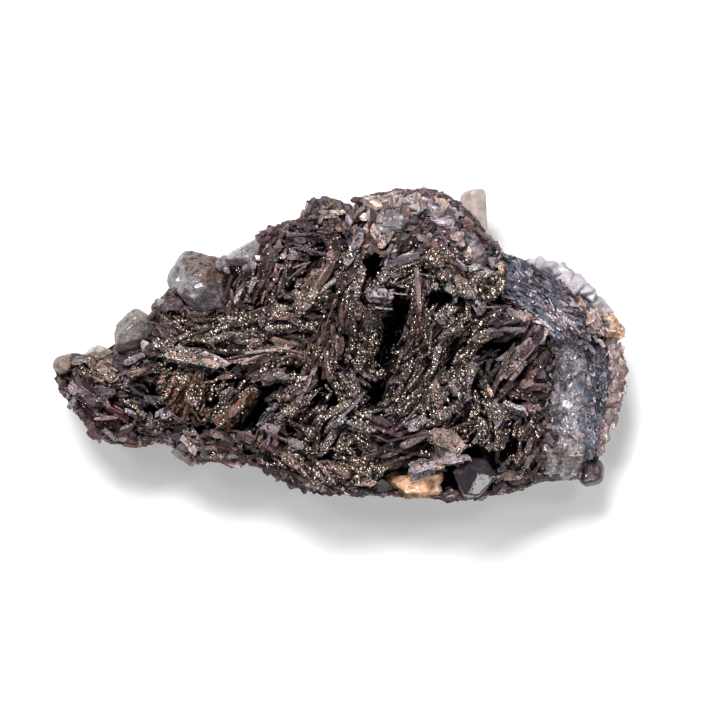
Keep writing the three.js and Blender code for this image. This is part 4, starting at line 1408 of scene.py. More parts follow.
@dataclass
class GrainDust:
    """Grains on the upper faces of the blades: brassy pyrite in patches, and dull brown druse all over."""

    pyrite: int = 20500
    druse: int = 9500
    size: float = 0.5
    spacing: float = 0.5
    druse_size: float = 0.42
    druse_even: float = 0.35
    tries: int = 150000

    def density(self, x: Array, y: Array) -> Array:
        """How thickly pyrite lies: a low level everywhere and the patches as bell curves, in clumps.

        Args:
            x: places along.
            y: places across.

        Returns:
            Densities of about 1 or less, one for each place.
        """
        spread = np.full(np.shape(x), 0.06)
        for cx, cy, wide, tall, share in PYRITE_PATCHES:
            spread = spread + share * bell(x, y, (cx, cy), (wide, tall))
        clumps = smooth(rough_noise(flat(x, y), 2.6, 31), -0.25, 0.45)
        return spread * (0.08 + 1.02 * clumps)

    def places(self, hosts: list[Laths], even: float, rng: Random) -> tuple[Array, Array]:
        """Picks places at random on the upper faces of blades.

        Args:
            hosts: the blades that carry grains.
            even: share of places that ignore the pyrite's patches.
            rng: the random source.

        Returns:
            Places and the tints of the blades under them.
        """
        middle, length, width, thickness, tint = (
            np.concatenate([getattr(host, name) for host in hosts])
            for name in ("middle", "length", "width", "thickness", "tint")
        )
        axes = [np.concatenate(parts) for parts in zip(*(host.axes() for host in hosts))]
        above = middle[:, 2] - BariteCrust().dome(middle[:, 0], middle[:, 1])
        exposed = 0.15 + 0.85 * smooth(above, -1.5, 1.0)
        likely = (self.density(middle[:, 0], middle[:, 1]) + 9 * even) * exposed * length * width
        host = rng.choice(len(middle), self.tries, p=likely / likely.sum())
        along, across, through = (axis[host] for axis in axes)
        u, v = rng.uniform(-0.38, 0.38, (self.tries, 2)).T[..., None]
        place = middle[host] + along * (u * length[host, None]) + across * (v * width[host, None])
        place = place + np.sign(through[:, 2:]) * through * thickness[host, None] / 2
        keep = rng.uniform(0, 1, self.tries) < self.density(place[:, 0], place[:, 1]) + even
        keep = keep & (CRUST_EDGE.inward(place[:, 0], place[:, 1]) > 0.3)
        return place[keep], tint[host][keep]

    @staticmethod
    def octahedra(place: Array, size: Array, tint: Array, faceted: bool, rng: Random) -> Shell:
        """Octahedra turned at random: one square ring between two poles.

        Args:
            place: middles.
            size: widths.
            tint: linear colours.
            faceted: whether every face keeps its own flat shading.
            rng: the random source.

        Returns:
            A shell of closed grains with values tint and streak.
        """
        count = len(place)
        turn = np.linalg.qr(rng.normal(size=(count, 3, 3)))[0]
        turn *= np.sign(np.linalg.det(turn))[:, None, None]
        corner = np.array([[1.0, 0, 0], [0, 1, 0], [-1, 0, 0], [0, -1, 0], [0, 0, -1], [0, 0, 1]])
        local = corner * rng.uniform(0.7, 1.1, (count, 6, 1)) * size[:, None, None] / 1.5
        world = np.einsum("nij,nkj->nki", turn, local) + place[:, None]
        return Shell.from_rings(world[:, None, :4], world[:, 4:], faceted=faceted, tint=tint, streak=world)

    def build(self, hosts: list[Laths], rng: Random) -> None:
        """Sets the pyrite and the druse on the blades.

        Args:
            hosts: the blades that carry grains.
            rng: the random source.
        """
        place = self.places(hosts, 0.0, rng)[0]
        _, first = np.unique(np.floor(place / self.spacing), axis=0, return_index=True)
        place = place[np.sort(first)][: self.pyrite]
        size = np.clip(self.size * rng.lognormal(0, 0.35, len(place)), 0.22, 0.95)
        tarnish = rng.beta(1.3, 0.9, len(place))[:, None] ** 0.8
        tint = blended(Tone.BRASS.light, Tone.BRONZE.light, tarnish)
        shell = self.octahedra(place, size, tint, False, rng)
        shell.piece("pyrite_grains", PyriteFinish().material(), "barite", ["barite_blades"])
        place, tint = (part[: self.druse] for part in self.places(hosts, self.druse_even, rng))
        size = np.clip(self.druse_size * rng.lognormal(0, 0.35, len(place)), 0.2, 0.9)
        own = rng.uniform(0, 1, (len(place), 1)) < 0.5
        tint = np.where(own, tint, 0.7 * BariteCrust.mixed_tones(len(place), rng))
        shell = self.octahedra(place, size, tint * rng.lognormal(-0.3, 0.6, (len(place), 1)), True, rng)
        finish = BladeFinish(name="barite_grown_druse")
        shell.piece("barite_druse", finish.material(), "barite", ["barite_blades"])


@dataclass
class MatrixRock:
    """The rock under the crust: a broken slab with a flat foot, bare and fibrous at the thick end."""

    # Distance inward from the edge and height of the upper face
    top_profile: Rows = ((0, 11), (1.5, 13.6), (6, 15), (14, 15.5))
    rim_height: float = 11.0
    foot_share: float = 0.55
    shoulder_x: float = 37.0
    shoulder_spread: float = 7.0
    shoulder_rise: float = 5.5
    hidden_height: float = 8.0
    foot_ends: tuple[float, float] = (-46.0, 41.0)
    station_gap: float = 0.5
    foot_points: int = 16
    side_points: int = 30
    top_points: int = 76
    streak_heading: float = -38.0
    # How far the foot takes to rise past its two ends
    foot_runs: tuple[float, float] = (6.5, 9.2)
    bare_area: Area = ((27.0, -20.0), (49.0, 18.0))
    fibres: int = 2400
    chip_area: Area = ((-54.0, -18.0), (50.0, 14.0))
    chip_gaps: tuple[float, float] = (6.0, 2.2)
    chip_slope: float = 0.9
    chip_seed: int = 77

    def top(self, x: Array, y: Array) -> Array:
        """Height of the rock's upper face: it rises from the rim and swells beside the crust.

        Args:
            x: places along.
            y: places across.

        Returns:
            Millimetres, one for each place.
        """
        inward = np.maximum(ROCK_EDGE.inward(x, y), 0)
        height = np.interp(inward, *np.transpose(self.top_profile))
        swell = self.shoulder_rise * np.exp(-(((x - self.shoulder_x) / self.shoulder_spread) ** 2))
        height = height + swell * smooth(inward, 0.3, 5) * smooth(y, 1, 6)
        hidden = np.maximum(smooth(CRUST_EDGE.inward(x, y), 0.5, 3), crystal_seat(x, y))
        return height + hidden * (self.hidden_height - height)

    def streaks(self, places: Array) -> Array:
        """Noise of about -1 to 1, drawn out along the rock's fibres."""
        along, across = turned(places[..., 0], places[..., 1], self.streak_heading)
        return rough_noise(np.stack([along / 6, across, places[..., 2]], axis=-1), 1.3, 41)

    def relief(self, places: Array) -> Array:
        """Roughness of the broken rock: chips of two sizes, and grooves at the thick end."""
        chips = 0.9 * rough_noise(places, 7.0, 51) + 0.35 * rough_noise(places, 1.6, 57)
        return chips + 0.5 * self.streaks(places) * smooth(places[..., 0], 24, 32)

    def tint(self, places: Array) -> Array:
        """Colour of the rock: slate and pale streaks, chalky towards the thick end's rim, brown behind.

        Args:
            places: places in millimetres.

        Returns:
            Linear colours, one for each place.
        """
        streak = self.streaks(places)[..., None]
        slate, ice, dark = palette((Tone.SLATE, Tone.ICE, Tone.DARK))
        color = blended(slate, ice, smooth(streak, 0.05, 0.6) * 0.9)
        color = color + smooth(-streak, 0.05, 0.45) * 0.9 * (dark - slate)
        plum = smooth(rough_noise(places, 4.0, 45), 0.05, 0.5)[..., None]
        color = blended(color, 0.7 * Tone.PLUM.light, 0.7 * plum)
        # Painted shade: the strip between the mass and the pink rim is darker
        shady = smooth(places[..., :1], 42, 44) * (1 - smooth(places[..., 1:2], 1, 5))
        color = color * (1 - 0.5 * shady)
        chalk = smooth(places[..., :1] + 2 * rough_noise(places, 3.0, 43)[..., None], 43.5, 48)
        color = blended(color, Tone.ROSE.light, chalk * smooth(places[..., 2:], 8, 10.5))
        low = smooth(-places[..., 2:], -12, -4)
        stain = smooth(rough_noise(places, 9.0, 47), 0.15, 0.6)[..., None] * low
        color = blended(color, Tone.TAN.light, 0.6 * stain)
        behind = 0.85 * (1 - smooth(places[..., :1], 18, 27))
        patch = rough_noise(places, 2.8, 49)[..., None]
        brown, grey = palette((Tone.BROWN, Tone.GREY))
        back = blended(brown, grey, smooth(patch, 0.05, 0.5))
        back = back + 0.8 * smooth(-patch, 0.1, 0.5) * (dark - brown)
        color = blended(color, back, behind)
        # Painted shade: where the rock lies hidden under the crust, seen only down the crevices, it turns
        # near black
        hidden = smooth(CRUST_EDGE.inward(places[..., 0], places[..., 1]), 2.5, 4.5)
        return blended(color, Tone.SHADE_BLACK.light, (hidden * smooth(places[..., 2], 7, 8))[..., None])

    def broken(self, rings: Array, share: Array, rng: Random) -> tuple[Array, Array]:
        """Chips of two sizes on the slab's foot and sides, where a side is laid out as length by height.

        Args:
            rings: the slab's places before it is broken.
            share: place across the slab from -1 to 1, one for each point of a ring.
            rng: the random source.

        Returns:
            How far each place moves out in millimetres, and a brightness of about 1 for each chip's face, as
            painted light and shade.
        """
        along, height = rings[..., 0], rings[..., 2]
        spread = np.where(share > 0, height, -height - 5)
        (coarse, coarse_light), (fine, fine_light) = (
            corners(along, spread, corner_tips(self.chip_area, gap, rng), self.chip_slope, rng)
            for gap in self.chip_gaps
        )
        return coarse + 0.9 * fine - 1.1, np.clip(coarse_light * fine_light, 0.45, 1.9)

    def shell(self) -> Shell:
        """The slab as a closed profile carried along X: flat foot, leaning side, upper face and side.

        Returns:
            A closed shell with value tint.
        """
        x = ROCK_EDGE.stations(self.station_gap, 0.3, 0.2)
        low, high = ROCK_EDGE.span(x)
        middle, half = (low + high) / 2, (high - low) / 2
        start, end = self.foot_ends
        past = np.maximum(np.maximum(start - x, x - end) / np.array(self.foot_runs)[(x > 0).astype(int)], 0)
        foot_z = 0.8 * self.rim_height * np.minimum(past, 1) ** 1.6
        climb = np.linspace(0, np.pi / 2, self.side_points)
        side_share = self.foot_share + (1 - self.foot_share) * np.sin(climb) ** 0.8
        side_z = foot_z + (self.rim_height - foot_z) * (1 - np.cos(climb))
        foot_share = np.linspace(-self.foot_share, self.foot_share, self.foot_points + 2)[1:-1]
        top_share = np.linspace(1, -1, self.top_points + 2)[1:-1]
        share = np.concatenate([foot_share, side_share, top_share, -side_share[::-1]])
        y = middle + half * share
        across = x + 0 * y
        over = self.top(across[:, : self.top_points], (middle + half * top_share))
        z = np.concatenate([foot_z + 0 * foot_share, side_z, over, side_z[:, ::-1]], axis=1)
        rings = np.stack([across, y, z], axis=-1)
        outward = np.stack([0 * y, share + 0 * y, smooth(z, 10, 13)], axis=-1)
        lift = smooth(z, 0.05, 2.5)[..., None] * outward
        counts = self.foot_points, self.side_points, self.top_points, self.side_points
        wall = np.repeat([0.0, 1, 0, 1], counts) * smooth(z, 0.05, 1.5) * (1 - smooth(z, 9.5, 11))
        under = np.repeat([1.0, 0, 0, 0], counts) * smooth(z, 0.3, 3)
        chips, light = self.broken(rings, share, np.random.default_rng(self.chip_seed))
        rings = rings + lift * self.relief(rings)[..., None]
        rings[..., 1] += np.sign(share) * wall * chips
        rings[..., 2] = np.maximum(rings[..., 2] - 0.8 * under * chips, 0)
        ends = ROCK_EDGE.ends(self.rim_height - 0.5)
        places = np.concatenate([rings.reshape(-1, 3), ends])[None]
        # Painted light and shade: each chip face on the foot and the sides is made lighter or darker
        light = 1 + (np.repeat([1.0, 1, 0, 1], counts) * (light - 1)).ravel()
        tint = self.tint(places) * np.append(light, [1, 1])[None, :, None]
        return Shell.from_rings(rings[None], ends[None], faceted=True, tint=np.clip(tint, 0.003, 0.9))

    def fibre_laths(self, rng: Random) -> Laths:
        """Slivers that lie along the rock's fibres on its bare face.

        Args:
            rng: the random source.

        Returns:
            The slivers.
        """
        x, y = (rng.uniform(*ends, 6 * self.fibres) for ends in zip(*self.bare_area))
        band = smooth(x, 43, 43.6) * smooth(y, -19, -17)
        fan = 0.8 * smooth(y, 2, 5)
        bare = (CRUST_EDGE.inward(x, y) < 0.6) & (ROCK_EDGE.inward(x, y) > 1.2)
        bare = bare & (rng.uniform(0, 1, len(x)) < np.maximum(band, fan)) & (crystal_seat(x, y) < 0.5)
        x, y = x[bare][: self.fibres], y[bare][: self.fibres]
        count = len(x)
        level = self.top(x, y)
        level = level + smooth(level, 10, 13) * self.relief(np.stack([x, y, level], axis=-1))
        cool, warm = (
            palette(tones)[rng.integers(0, len(tones), count)]
            for tones in (
                (Tone.STEEL, Tone.SLATE, Tone.STEEL, Tone.ICE, Tone.LILAC, Tone.SLATE, Tone.INK),
                (Tone.PLUM, Tone.BROWN, Tone.DARK, Tone.GREY, Tone.PALE, Tone.PLUM),
            )
        )
        patches = np.exp(0.75 * rough_noise(flat(x, y), 3.2, 91) - 0.1)
        zone = 0.12 + 0.75 * bell(x, y, (40, 8), (4, 3))
        tint = np.where(rng.uniform(0, 1, (count, 1)) < zone[:, None], warm, cool)
        # Painted shade: fibres on the strip between the mass and the pink rim are darker
        shade = patches * (1 - 0.3 * band[bare][: self.fibres])
        tint = tint * rng.lognormal(-0.15, 0.3, (count, 1)) * shade[:, None]
        bend = 42 * smooth(x, 39, 46) * (1 - smooth(y, -2, 6))
        laths = Laths(
            middle=np.stack([x, y, level + rng.uniform(-0.2, 0.1, count)], axis=-1),
            heading=self.streak_heading - bend + rng.normal(0, 15, count),
            pitch=rng.normal(-3, 4, count),
            roll=90 + rng.normal(0, 10, count),
            length=rng.lognormal(0.95, 0.4, count) * (1 - 0.5 * smooth(x, 42, 44)),
            width=rng.uniform(0.25, 0.85, count),
            thickness=rng.uniform(0.08, 0.18, count),
            tint=np.clip(tint, 0.004, 0.9),
            stations=4,
        )
        ends = laths.tips()
        return laths.keep(ROCK_EDGE.inward(ends[..., 0], ends[..., 1]).min(axis=0) > 0.4)

    def build(self, rng: Random) -> None:
        """Makes the slab and its fibres.

        Args:
            rng: the random source.
        """
        # Dull, with coarse dark gaps between pale grains
        finish = RockFinish("matrix_rock_broken", 0.9, 0.8, (1.35, 0.5), (0.42, 1.6), 0.6)
        self.shell().piece("matrix_slab", finish.material(), "rock", ["matrix_rock"])
        fibres = self.fibre_laths(rng).shell(rng)
        # A silky drag of light along the slivers
        finish = BladeFinish(
            "matrix_rock_fibres", roughness=(0.6, 0.9), specular=0.15, streaks=(0.55, 1.25),
            speck_floor=0.55, hue=0.4,
        )
        fibres.piece("matrix_fibres", finish.material(), "rock", ["matrix_rock"])


class Skin(Enum):
    """How a crystal's surface was made."""

    CLEAR = "clear"
    SMOKY = "smoky"
    CLOUDY = "cloudy"
    VEINED = "veined"
    SATIN = "satin"
    DARK = "dark"
    CHALKY = "chalky"
    STAINED = "stained"
    GRAINY = "grainy"


@dataclass(frozen=True)
class Crystal:
    """One cleaved crystal: the solid that it stands for, its colours and how it is worn."""

    node: str
    slot: str
    tone: Tone
    finish: Skin
    sharpness: float = 26.0
    relief: float = 0.25
    detail: int = 44
    stain: tuple[float, float, float] | None = None
    cuts: int = 6
    patch: Tone | None = None


@dataclass(frozen=True)
class LumpRow:
    """A row of lumps that grew together: the solid that it stands for, its colour, lumps and corners."""

    node: str
    slot: str
    tone: Tone
    finish: Skin
    lumps: Rows
    gap: float
    slope: float
    relief: float = 1.0
    # How far the hollows turn brown, as painted shade
    hollow_shade: float = 0.5
    patch: Tone = Tone.ROSE
    flakes: tuple[int, tuple[float, float], float] | None = None
    stations: int = 120
    around: int = 70


# Middles and radii of the lumps in the two rows along the thick end
WHITE_LUMPS = (
    (32.6, 16.6, 12.6, 1), (34.4, 16.2, 12.8, 1.2), (36.2, 15.6, 12.8, 1.2), (38, 14.6, 12.8, 1.3),
    (40.2, 13.2, 12.8, 1.6), (42.6, 11.2, 12.6, 1.3), (44.7, 9.4, 12.4, 1.2), (46.8, 7.8, 12.2, 1.1),
)
# Middles and radii of the frosted blocks that stand on the white row
WHITE_BLOCKS = np.array([
    (33.2, 16.4, 13.2, 1.2), (34.8, 16.2, 13.4, 1.4), (36.3, 15.8, 13.3, 1.5), (37.6, 14.8, 13.3, 1.4),
    (39.4, 14, 13.2, 2), (41.2, 12.8, 13.2, 2.1), (42.2, 11.6, 13.2, 1.6), (44, 10.4, 12.8, 1.4),
    (45.2, 9.3, 12.6, 1.4), (46.6, 8.2, 12.4, 1.3), (38.4, 15.4, 12.6, 1.2), (43.2, 11.6, 12.4, 1.2),
    (45.8, 7.6, 13, 1.0),
])
PINK_LUMPS = (
    (47.4, 2.4, 12, 1.6), (47.8, 0, 12, 2.3), (48.2, -2.8, 11.8, 2.6), (48.2, -5.6, 11.4, 2.6),
    (47.7, -8.6, 11.2, 2.6), (46.9, -11.6, 11, 2.3), (45.6, -14.6, 11, 2), (44.8, -17, 11, 1.7),
)

ORANGE_LUMPS = ((43.4, 7, 13.4, 1.4), (45, 6.2, 13.4, 2), (46.8, 5.4, 13, 2.3), (48.4, 4.4, 12.2, 1.8))

# Faces that take the place of a solid's own: those that lean up more than a limit go, and these, as
# normal and distance from the middle, come
OWN_FACES: dict[str, tuple[float, Rows]] = {
    "dark_crystal": (0.4, (
        (0.27, -0.3, 0.915, 3.1), (-0.55, 0.1, 0.83, 3.0), (0.25, 0.7, 0.67, 3.1), (0, 1, 0.1, 3.5),
        (-0.1, -1, 0.15, 3.4),
    )),
    "calcite_upper_left": (-0.3, (
        (-0.84, 0.54, 0.12, 6.1), (0.03, 1.0, 0.1, 5.8), (0.9, 0.44, 0.15, 4.8), (1.0, -0.1, 0.2, 3.8),
        (0, -1.0, 0.2, 5.5), (-0.48, -0.88, 0.2, 4.9), (-0.71, -0.71, 0.2, 4.6), (-1.0, 0, 0.1, 6.7),
        (-0.1, -0.25, 0.96, 5.4), (-0.5, 0.45, 0.74, 5.5), (0.5, 0.15, 0.85, 5.3), (0.1, -0.62, 0.78, 5.2),
        (0.15, 0.66, 0.74, 5.6), (-0.7, -0.3, 0.64, 5.6), (-0.15, 0.8, 0.55, 5.6), (0.55, 0.6, 0.55, 5.2),
    )),
    "calcite_sliver": (-0.3, (
        (-0.51, 0.86, 0.12, 1.1), (0.76, 0.65, 0.1, 3.5), (0.99, -0.16, 0.2, 3.2), (0.4, -0.92, 0.2, 2.3),
        (-0.43, -0.9, 0.2, 3.7), (-1.0, 0, 0.1, 3.5), (0.1, -0.3, 0.95, 3.5), (-0.4, 0.5, 0.77, 2.6),
        (0.1, -0.7, 0.7, 3.1),
    )),
    "calcite_top": (0.3, (
        (0.05, -0.1, 1, 2.2), (0.5, 0.4, 0.75, 3.0), (-0.6, 0.2, 0.77, 2.9), (0.1, -0.7, 0.7, 2.9),
        (-0.1, 0.6, 0.8, 2.8),
    )),
    "orange_calcite_block": (-0.3, (
        (-1, 0.25, 0.2, 4.7), (1, 0.1, 0.15, 4.9), (0.08, 1, 0.2, 2.8), (0.02, -1, 0.25, 1.9),
        (0.02, -0.12, 1, 3.1), (0.5, -0.5, 0.7, 4.9), (-0.5, -0.3, 0.8, 4.8),
    )),
}

# The see-through mass at the thick end, seen from above
MASS_EDGE = Outline(
    upper=(
        (32.6, -20.8), (34.2, -14), (35.4, -6), (36.6, 0), (38, 3.4), (40, 4.4), (42, 3.8), (43.4, 1.5),
        (44, -4), (44.4, -10),
    ),
    lower=((32.6, -20.8), (35, -22.6), (39, -22.9), (41.8, -22), (43.2, -19), (44, -14), (44.4, -10)),
)


@dataclass
class CalciteCrystals:
    """The calcite blocks, the prism and the dark crystal, and the grainy rows along the thick end."""

    crystals: tuple[Crystal, ...] = (
        Crystal(
            "calcite_upper_left", "grey_calcite", Tone.LILAC, Skin.CLEAR, 60, 0.5, 76, (-26.0, 16.8, 5.0), 9
        ),
        Crystal("calcite_sliver", "grey_calcite", Tone.LILAC, Skin.SMOKY, 24, 0.5, 50),
        Crystal("calcite_left", "grey_calcite", Tone.OLIVE, Skin.SMOKY, 20, 0.6, 64, None, 9),
        Crystal("calcite_ledge", "grey_calcite", Tone.SAND, Skin.SMOKY),
        Crystal("calcite_tip", "grey_calcite", Tone.TAN, Skin.CLOUDY, 12),
        Crystal("calcite_top", "grey_calcite", Tone.GREY, Skin.CLOUDY, 20, 1.0, 60, None, 14),
        Crystal("calcite_lower_right", "pink_calcite", Tone.PLUM, Skin.SMOKY, 9, 0.25),
        Crystal("calcite_prism", "white_calcite", Tone.CHALK, Skin.SATIN, 9, 0.12, 56, None, 0),
        Crystal("calcite_chip", "pink_calcite", Tone.PINK, Skin.CLOUDY),
        Crystal(
            "orange_calcite_block", "orange_calcite", Tone.ORANGE, Skin.STAINED, 40, 1.1, 72,
            (14.6, -23.4, 1.4), 3, Tone.CREAM,
        ),
        Crystal("orange_calcite_chip", "orange_calcite", Tone.RUST, Skin.CHALKY, 12, 0.3),
        Crystal("dark_crystal", "dark_crystal", Tone.INK, Skin.DARK, 70, 0.04, 60, None, 0),
    )
    rows: tuple[LumpRow, ...] = (
        LumpRow(
            "calcite_white_rim", "white_calcite", Tone.LILAC, Skin.CLOUDY, WHITE_LUMPS, 2.0, 0.5, 0.6, 0.6
        ),
        LumpRow(
            "calcite_pink_rim", "pink_calcite", Tone.PINK, Skin.GRAINY, PINK_LUMPS, 1.9, 0.75, 0.9, 0.9,
            Tone.MAUVE, (110, (-95, 22), 1.5),
        ),
        LumpRow(
            "orange_calcite_lump", "orange_calcite", Tone.CREAM, Skin.CHALKY, ORANGE_LUMPS, 1.1, 0.6, 0.55,
            0.5, Tone.ORANGE, (60, (-30, 45), 0.7),
        ),
    )
    small_crystals: Rows = (
        (-34.2, 9.0, 15.8, 1.2), (-22.9, 16.5, 17.6, 1.2), (-17.6, 16.4, 20, 0.9),
        (-16.6, 17.5, 19.8, 0.7), (-18.6, 15.7, 20, 0.7), (-33.4, 8.6, 17, 0.7), (-22.2, 15.2, 18, 0.7),
    )
    crystal_seed: int = 100
    row_seed: int = 300
    mass_seed: int = 400
    seed_step: int = 10
    mass_area: Area = ((33.0, -23.0), (45.0, 5.0))
    # How many flakes, their mean heading and its spread, and their length
    mass_flakes: tuple[int, tuple[float, float], float] = (170, (-55, 35), 0.8)
    mass_level: float = 16.6
    mass_gap: float = 2.8
    mass_station: float = 0.1
    mass_points: int = 190
    mass_under_points: int = 12
    mass_base: float = 10.0
    flake_thickness: float = 0.12
    mass_flash: Rows = ((39.3, -8.9, -20, 2.3, 1.4),)
    block_flashes: Rows = (
        (-30.9, 13.8, 50, 1.2, 0.9), (-27.3, 12.4, 35, 1.4, 0.7), (-26.2, 7.8, 30, 0.9, 0.7),
    )

    @staticmethod
    def finishes() -> dict[Skin, bpy.types.Material]:
        """The finishes that the crystals and the rows choose from.

        Returns:
            A material for each skin.
        """
        looks = {
            # A see-through body, pale veils and glints from many small tilted faces
            Skin.CLEAR: CalciteFinish(
                "calcite_clear_grown", 0.65, 0.2, Tone.ICE, 0.05, 0.28, 1.1, facet_mm=0.9, veil=(0.45, 1.5)
            ),
            # A grey-brown depth with soft glints
            Skin.SMOKY: CalciteFinish(
                "calcite_smoky_grown", 0.55, 0.28, Tone.TAN, 0.12, 0.14, 1.3, veil=(0.5, 1.45)
            ),
            # A milky glow from inside and a frosted skin
            Skin.CLOUDY: CalciteFinish("calcite_cloudy_grown", 0.35, 0.35, Tone.ROSE, 0.05, 0.12),
            # Grey and half see-through, with flat bright faces
            Skin.VEINED: CalciteFinish("calcite_veined_grown", 0.4, 0.24, Tone.ICE, 0.05, 0.1, 1.4),
            # A silky pale face with hardly any depth
            Skin.SATIN: CalciteFinish("calcite_satin_grown", 0.15, 0.45, Tone.ROSE, 0.05, 0.04, 2.2, 0.9),
            # Nearly black, with faces that mirror the lights
            Skin.DARK: CalciteFinish("dark_crystal_grown", 0.15, 0.09, Tone.DARK, 0.4, 0.14, facet_mm=0.7),
            # Dull and crumbly, darker in its pits
            Skin.CHALKY: RockFinish("calcite_iron_stained", 0.6, 0.7, (1.25, 0.5)),
            # Rough orange cleavage with a fine grain
            Skin.STAINED: RockFinish("calcite_iron_stained_cleaved", 0.7, 0.6, (1.15, 0.72)),
            # A broken rim with dark gaps between its grains
            Skin.GRAINY: RockFinish("calcite_rough_broken", 0.45, 0.65, (1.2, 0.55)),
        }
        return {skin: look.material() for skin, look in looks.items()}

    @staticmethod
    def tinted(
        places: Array,
        tone: Tone,
        stain: tuple[float, float, float] | None,
        seed: int,
        patch: Tone | None = None,
    ) -> Array:
        """A crystal's colour, mottled, with patches of another tone and a rust stain where it has them.

        Args:
            places: corners in millimetres.
            tone: the crystal's own colour.
            stain: x, y and radius of a rust patch.
            seed: picks the mottling.
            patch: the other tone.

        Returns:
            Linear colours at the corners.
        """
        mottle = 1 + 0.3 * rough_noise(places, 2.4, seed)[..., None]
        color = tone.light * mottle
        if patch:
            share = smooth(rough_noise(places, 1.6, seed + 4), -0.1, 0.4)[..., None]
            color = blended(color, patch.light, 0.8 * share)
        if stain:
            x, y, radius = stain
            away = np.hypot(places[..., 0] - x, places[..., 1] - y) / radius
            rust = smooth(-away - 0.7 * rough_noise(places, 1.3, seed + 1), -1.2, -0.4)[..., None]
            color = blended(color, Tone.RUST.light, 0.95 * rust)
        return np.clip(color, 0.003, 0.95)

    def crystal_shell(self, crystal: Crystal, seed: int) -> Shell:
        """A crystal from the planes of its solid, with steps of cleavage on its faces.

        Args:
            crystal: the crystal.
            seed: picks its relief.

        Returns:
            A closed shell with value tint.
        """
        middle, normals, offsets = node_planes(crystal.node)
        if crystal.node in OWN_FACES:
            limit, faces = OWN_FACES[crystal.node]
            own = np.array(faces)
            steep = normals[:, 2] < limit
            facing = own[:, :3] / np.linalg.norm(own[:, :3], axis=1, keepdims=True)
            normals = np.concatenate([normals[steep], facing])
            offsets = np.concatenate([offsets[steep], own[:, 3]])
        rng = np.random.default_rng(seed)
        chips = rng.normal(size=(crystal.cuts, 3))
        chips[:, 2] = np.abs(chips[:, 2])
        chips /= np.linalg.norm(chips, axis=1, keepdims=True)
        depth = cleaved_reach(chips, normals[None], offsets[None], crystal.sharpness)[0]
        normals = np.concatenate([normals, chips])
        offsets = np.concatenate([offsets, depth * rng.uniform(0.82, 0.96, crystal.cuts)])
        rings, poles = star_directions(crystal.detail, int(1.5 * crystal.detail))
        directions = np.concatenate([rings.reshape(-1, 3), poles])
        reach = cleaved_reach(directions, normals[None], offsets[None], crystal.sharpness)[0]
        places = middle + reach[:, None] * directions
        height = rough_noise(places, 2.6, seed)
        steps = np.floor(4 * height) / 4 + 0.35 * smooth(4 * height % 1, 0.7, 1.0)
        reach = reach + crystal.relief * (steps + 0.25 * rough_noise(places, 0.8, seed + 3))
        places = (middle + reach[:, None] * directions)[None]
        around = rings.shape[1]
        # Painted light and shade: each face of the crystal is made a little lighter or darker
        closest = (directions @ normals.T / offsets).argmax(axis=1)
        light = rng.lognormal(0, 0.16, len(normals))[closest][None, :, None]
        tint = self.tinted(places, crystal.tone, crystal.stain, seed + 5, crystal.patch)
        tint = np.clip(tint * light, 0.003, 0.95)
        return Shell.from_rings(places[:, :-2].reshape(1, -1, around, 3), places[:, -2:], tint=tint)

    def row_shell(self, row: LumpRow, seed: int, rng: Random) -> Shell:
        """A tube along the line through a row's lumps, with crystal corners of two sizes all over it.

        At distance s along the line the radius is the largest sqrt(r^2 - (s - s_i)^2) of the lumps, or
        a share of r between them, and the corners' height is added to it.

        Args:
            row: the row.
            seed: picks its relief.
            rng: the random source.

        Returns:
            A shell with value tint.
        """
        middles, radii = np.array(row.lumps)[:, :3], np.array(row.lumps)[:, 3]
        gaps = np.linalg.norm(np.diff(middles, axis=0), axis=1)
        at = np.concatenate([[0], np.cumsum(gaps)])
        start, end = -radii[0], at[-1] + radii[-1]
        reach = np.linspace(start, end, row.stations + 2)[1:-1]
        ways = np.diff(middles, axis=0) / gaps[:, None]
        first, last = middles[:1] - radii[0] * ways[:1], middles[-1:] + radii[-1] * ways[-1:]
        line = np.concatenate([first, middles, last])
        known = np.concatenate([[start], at, [end]])
        path = np.stack([np.interp(reach, known, line[:, k]) for k in range(3)], axis=-1)
        bulge = np.sqrt(np.maximum(radii**2 - (reach[:, None] - at) ** 2, 0)).max(axis=1)
        between = 0.75 * np.interp(reach, at, radii) * (reach > 0) * (reach < at[-1])
        radius = np.maximum(bulge, between)
        way = np.gradient(path, axis=0)
        way /= np.linalg.norm(way, axis=1, keepdims=True)
        side = np.cross([0.0, 0, 1], way)
        side /= np.linalg.norm(side, axis=1, keepdims=True)
        up = np.cross(way, side)
        turn = 2 * np.pi * np.arange(row.around) / row.around - np.pi / 2
        spoke = side[:, None] * np.cos(turn)[:, None] + up[:, None] * np.sin(turn)[:, None]
        rings = path[:, None] + radius[:, None, None] * spoke
        mean = radii.mean()
        laid_out = reach[:, None] + 0 * turn, mean * (turn + np.pi / 2) + 0 * reach[:, None]
        area = (start, 0.0), (end, 2 * np.pi * mean)
        coarse, coarse_light = corners(*laid_out, corner_tips(area, row.gap, rng), row.slope, rng)
        fine, fine_light = corners(*laid_out, corner_tips(area, 0.45 * row.gap, rng), 1.3 * row.slope, rng)
        swell = row.relief * (coarse + 0.5 * fine) + 0.12 * rough_noise(rings, 0.9, seed)
        rings = rings + (swell * np.minimum(radius, 1)[:, None])[..., None] * spoke
        ends = line[[0, -1]]
        places = np.concatenate([rings.reshape(-1, 3), ends])[None]
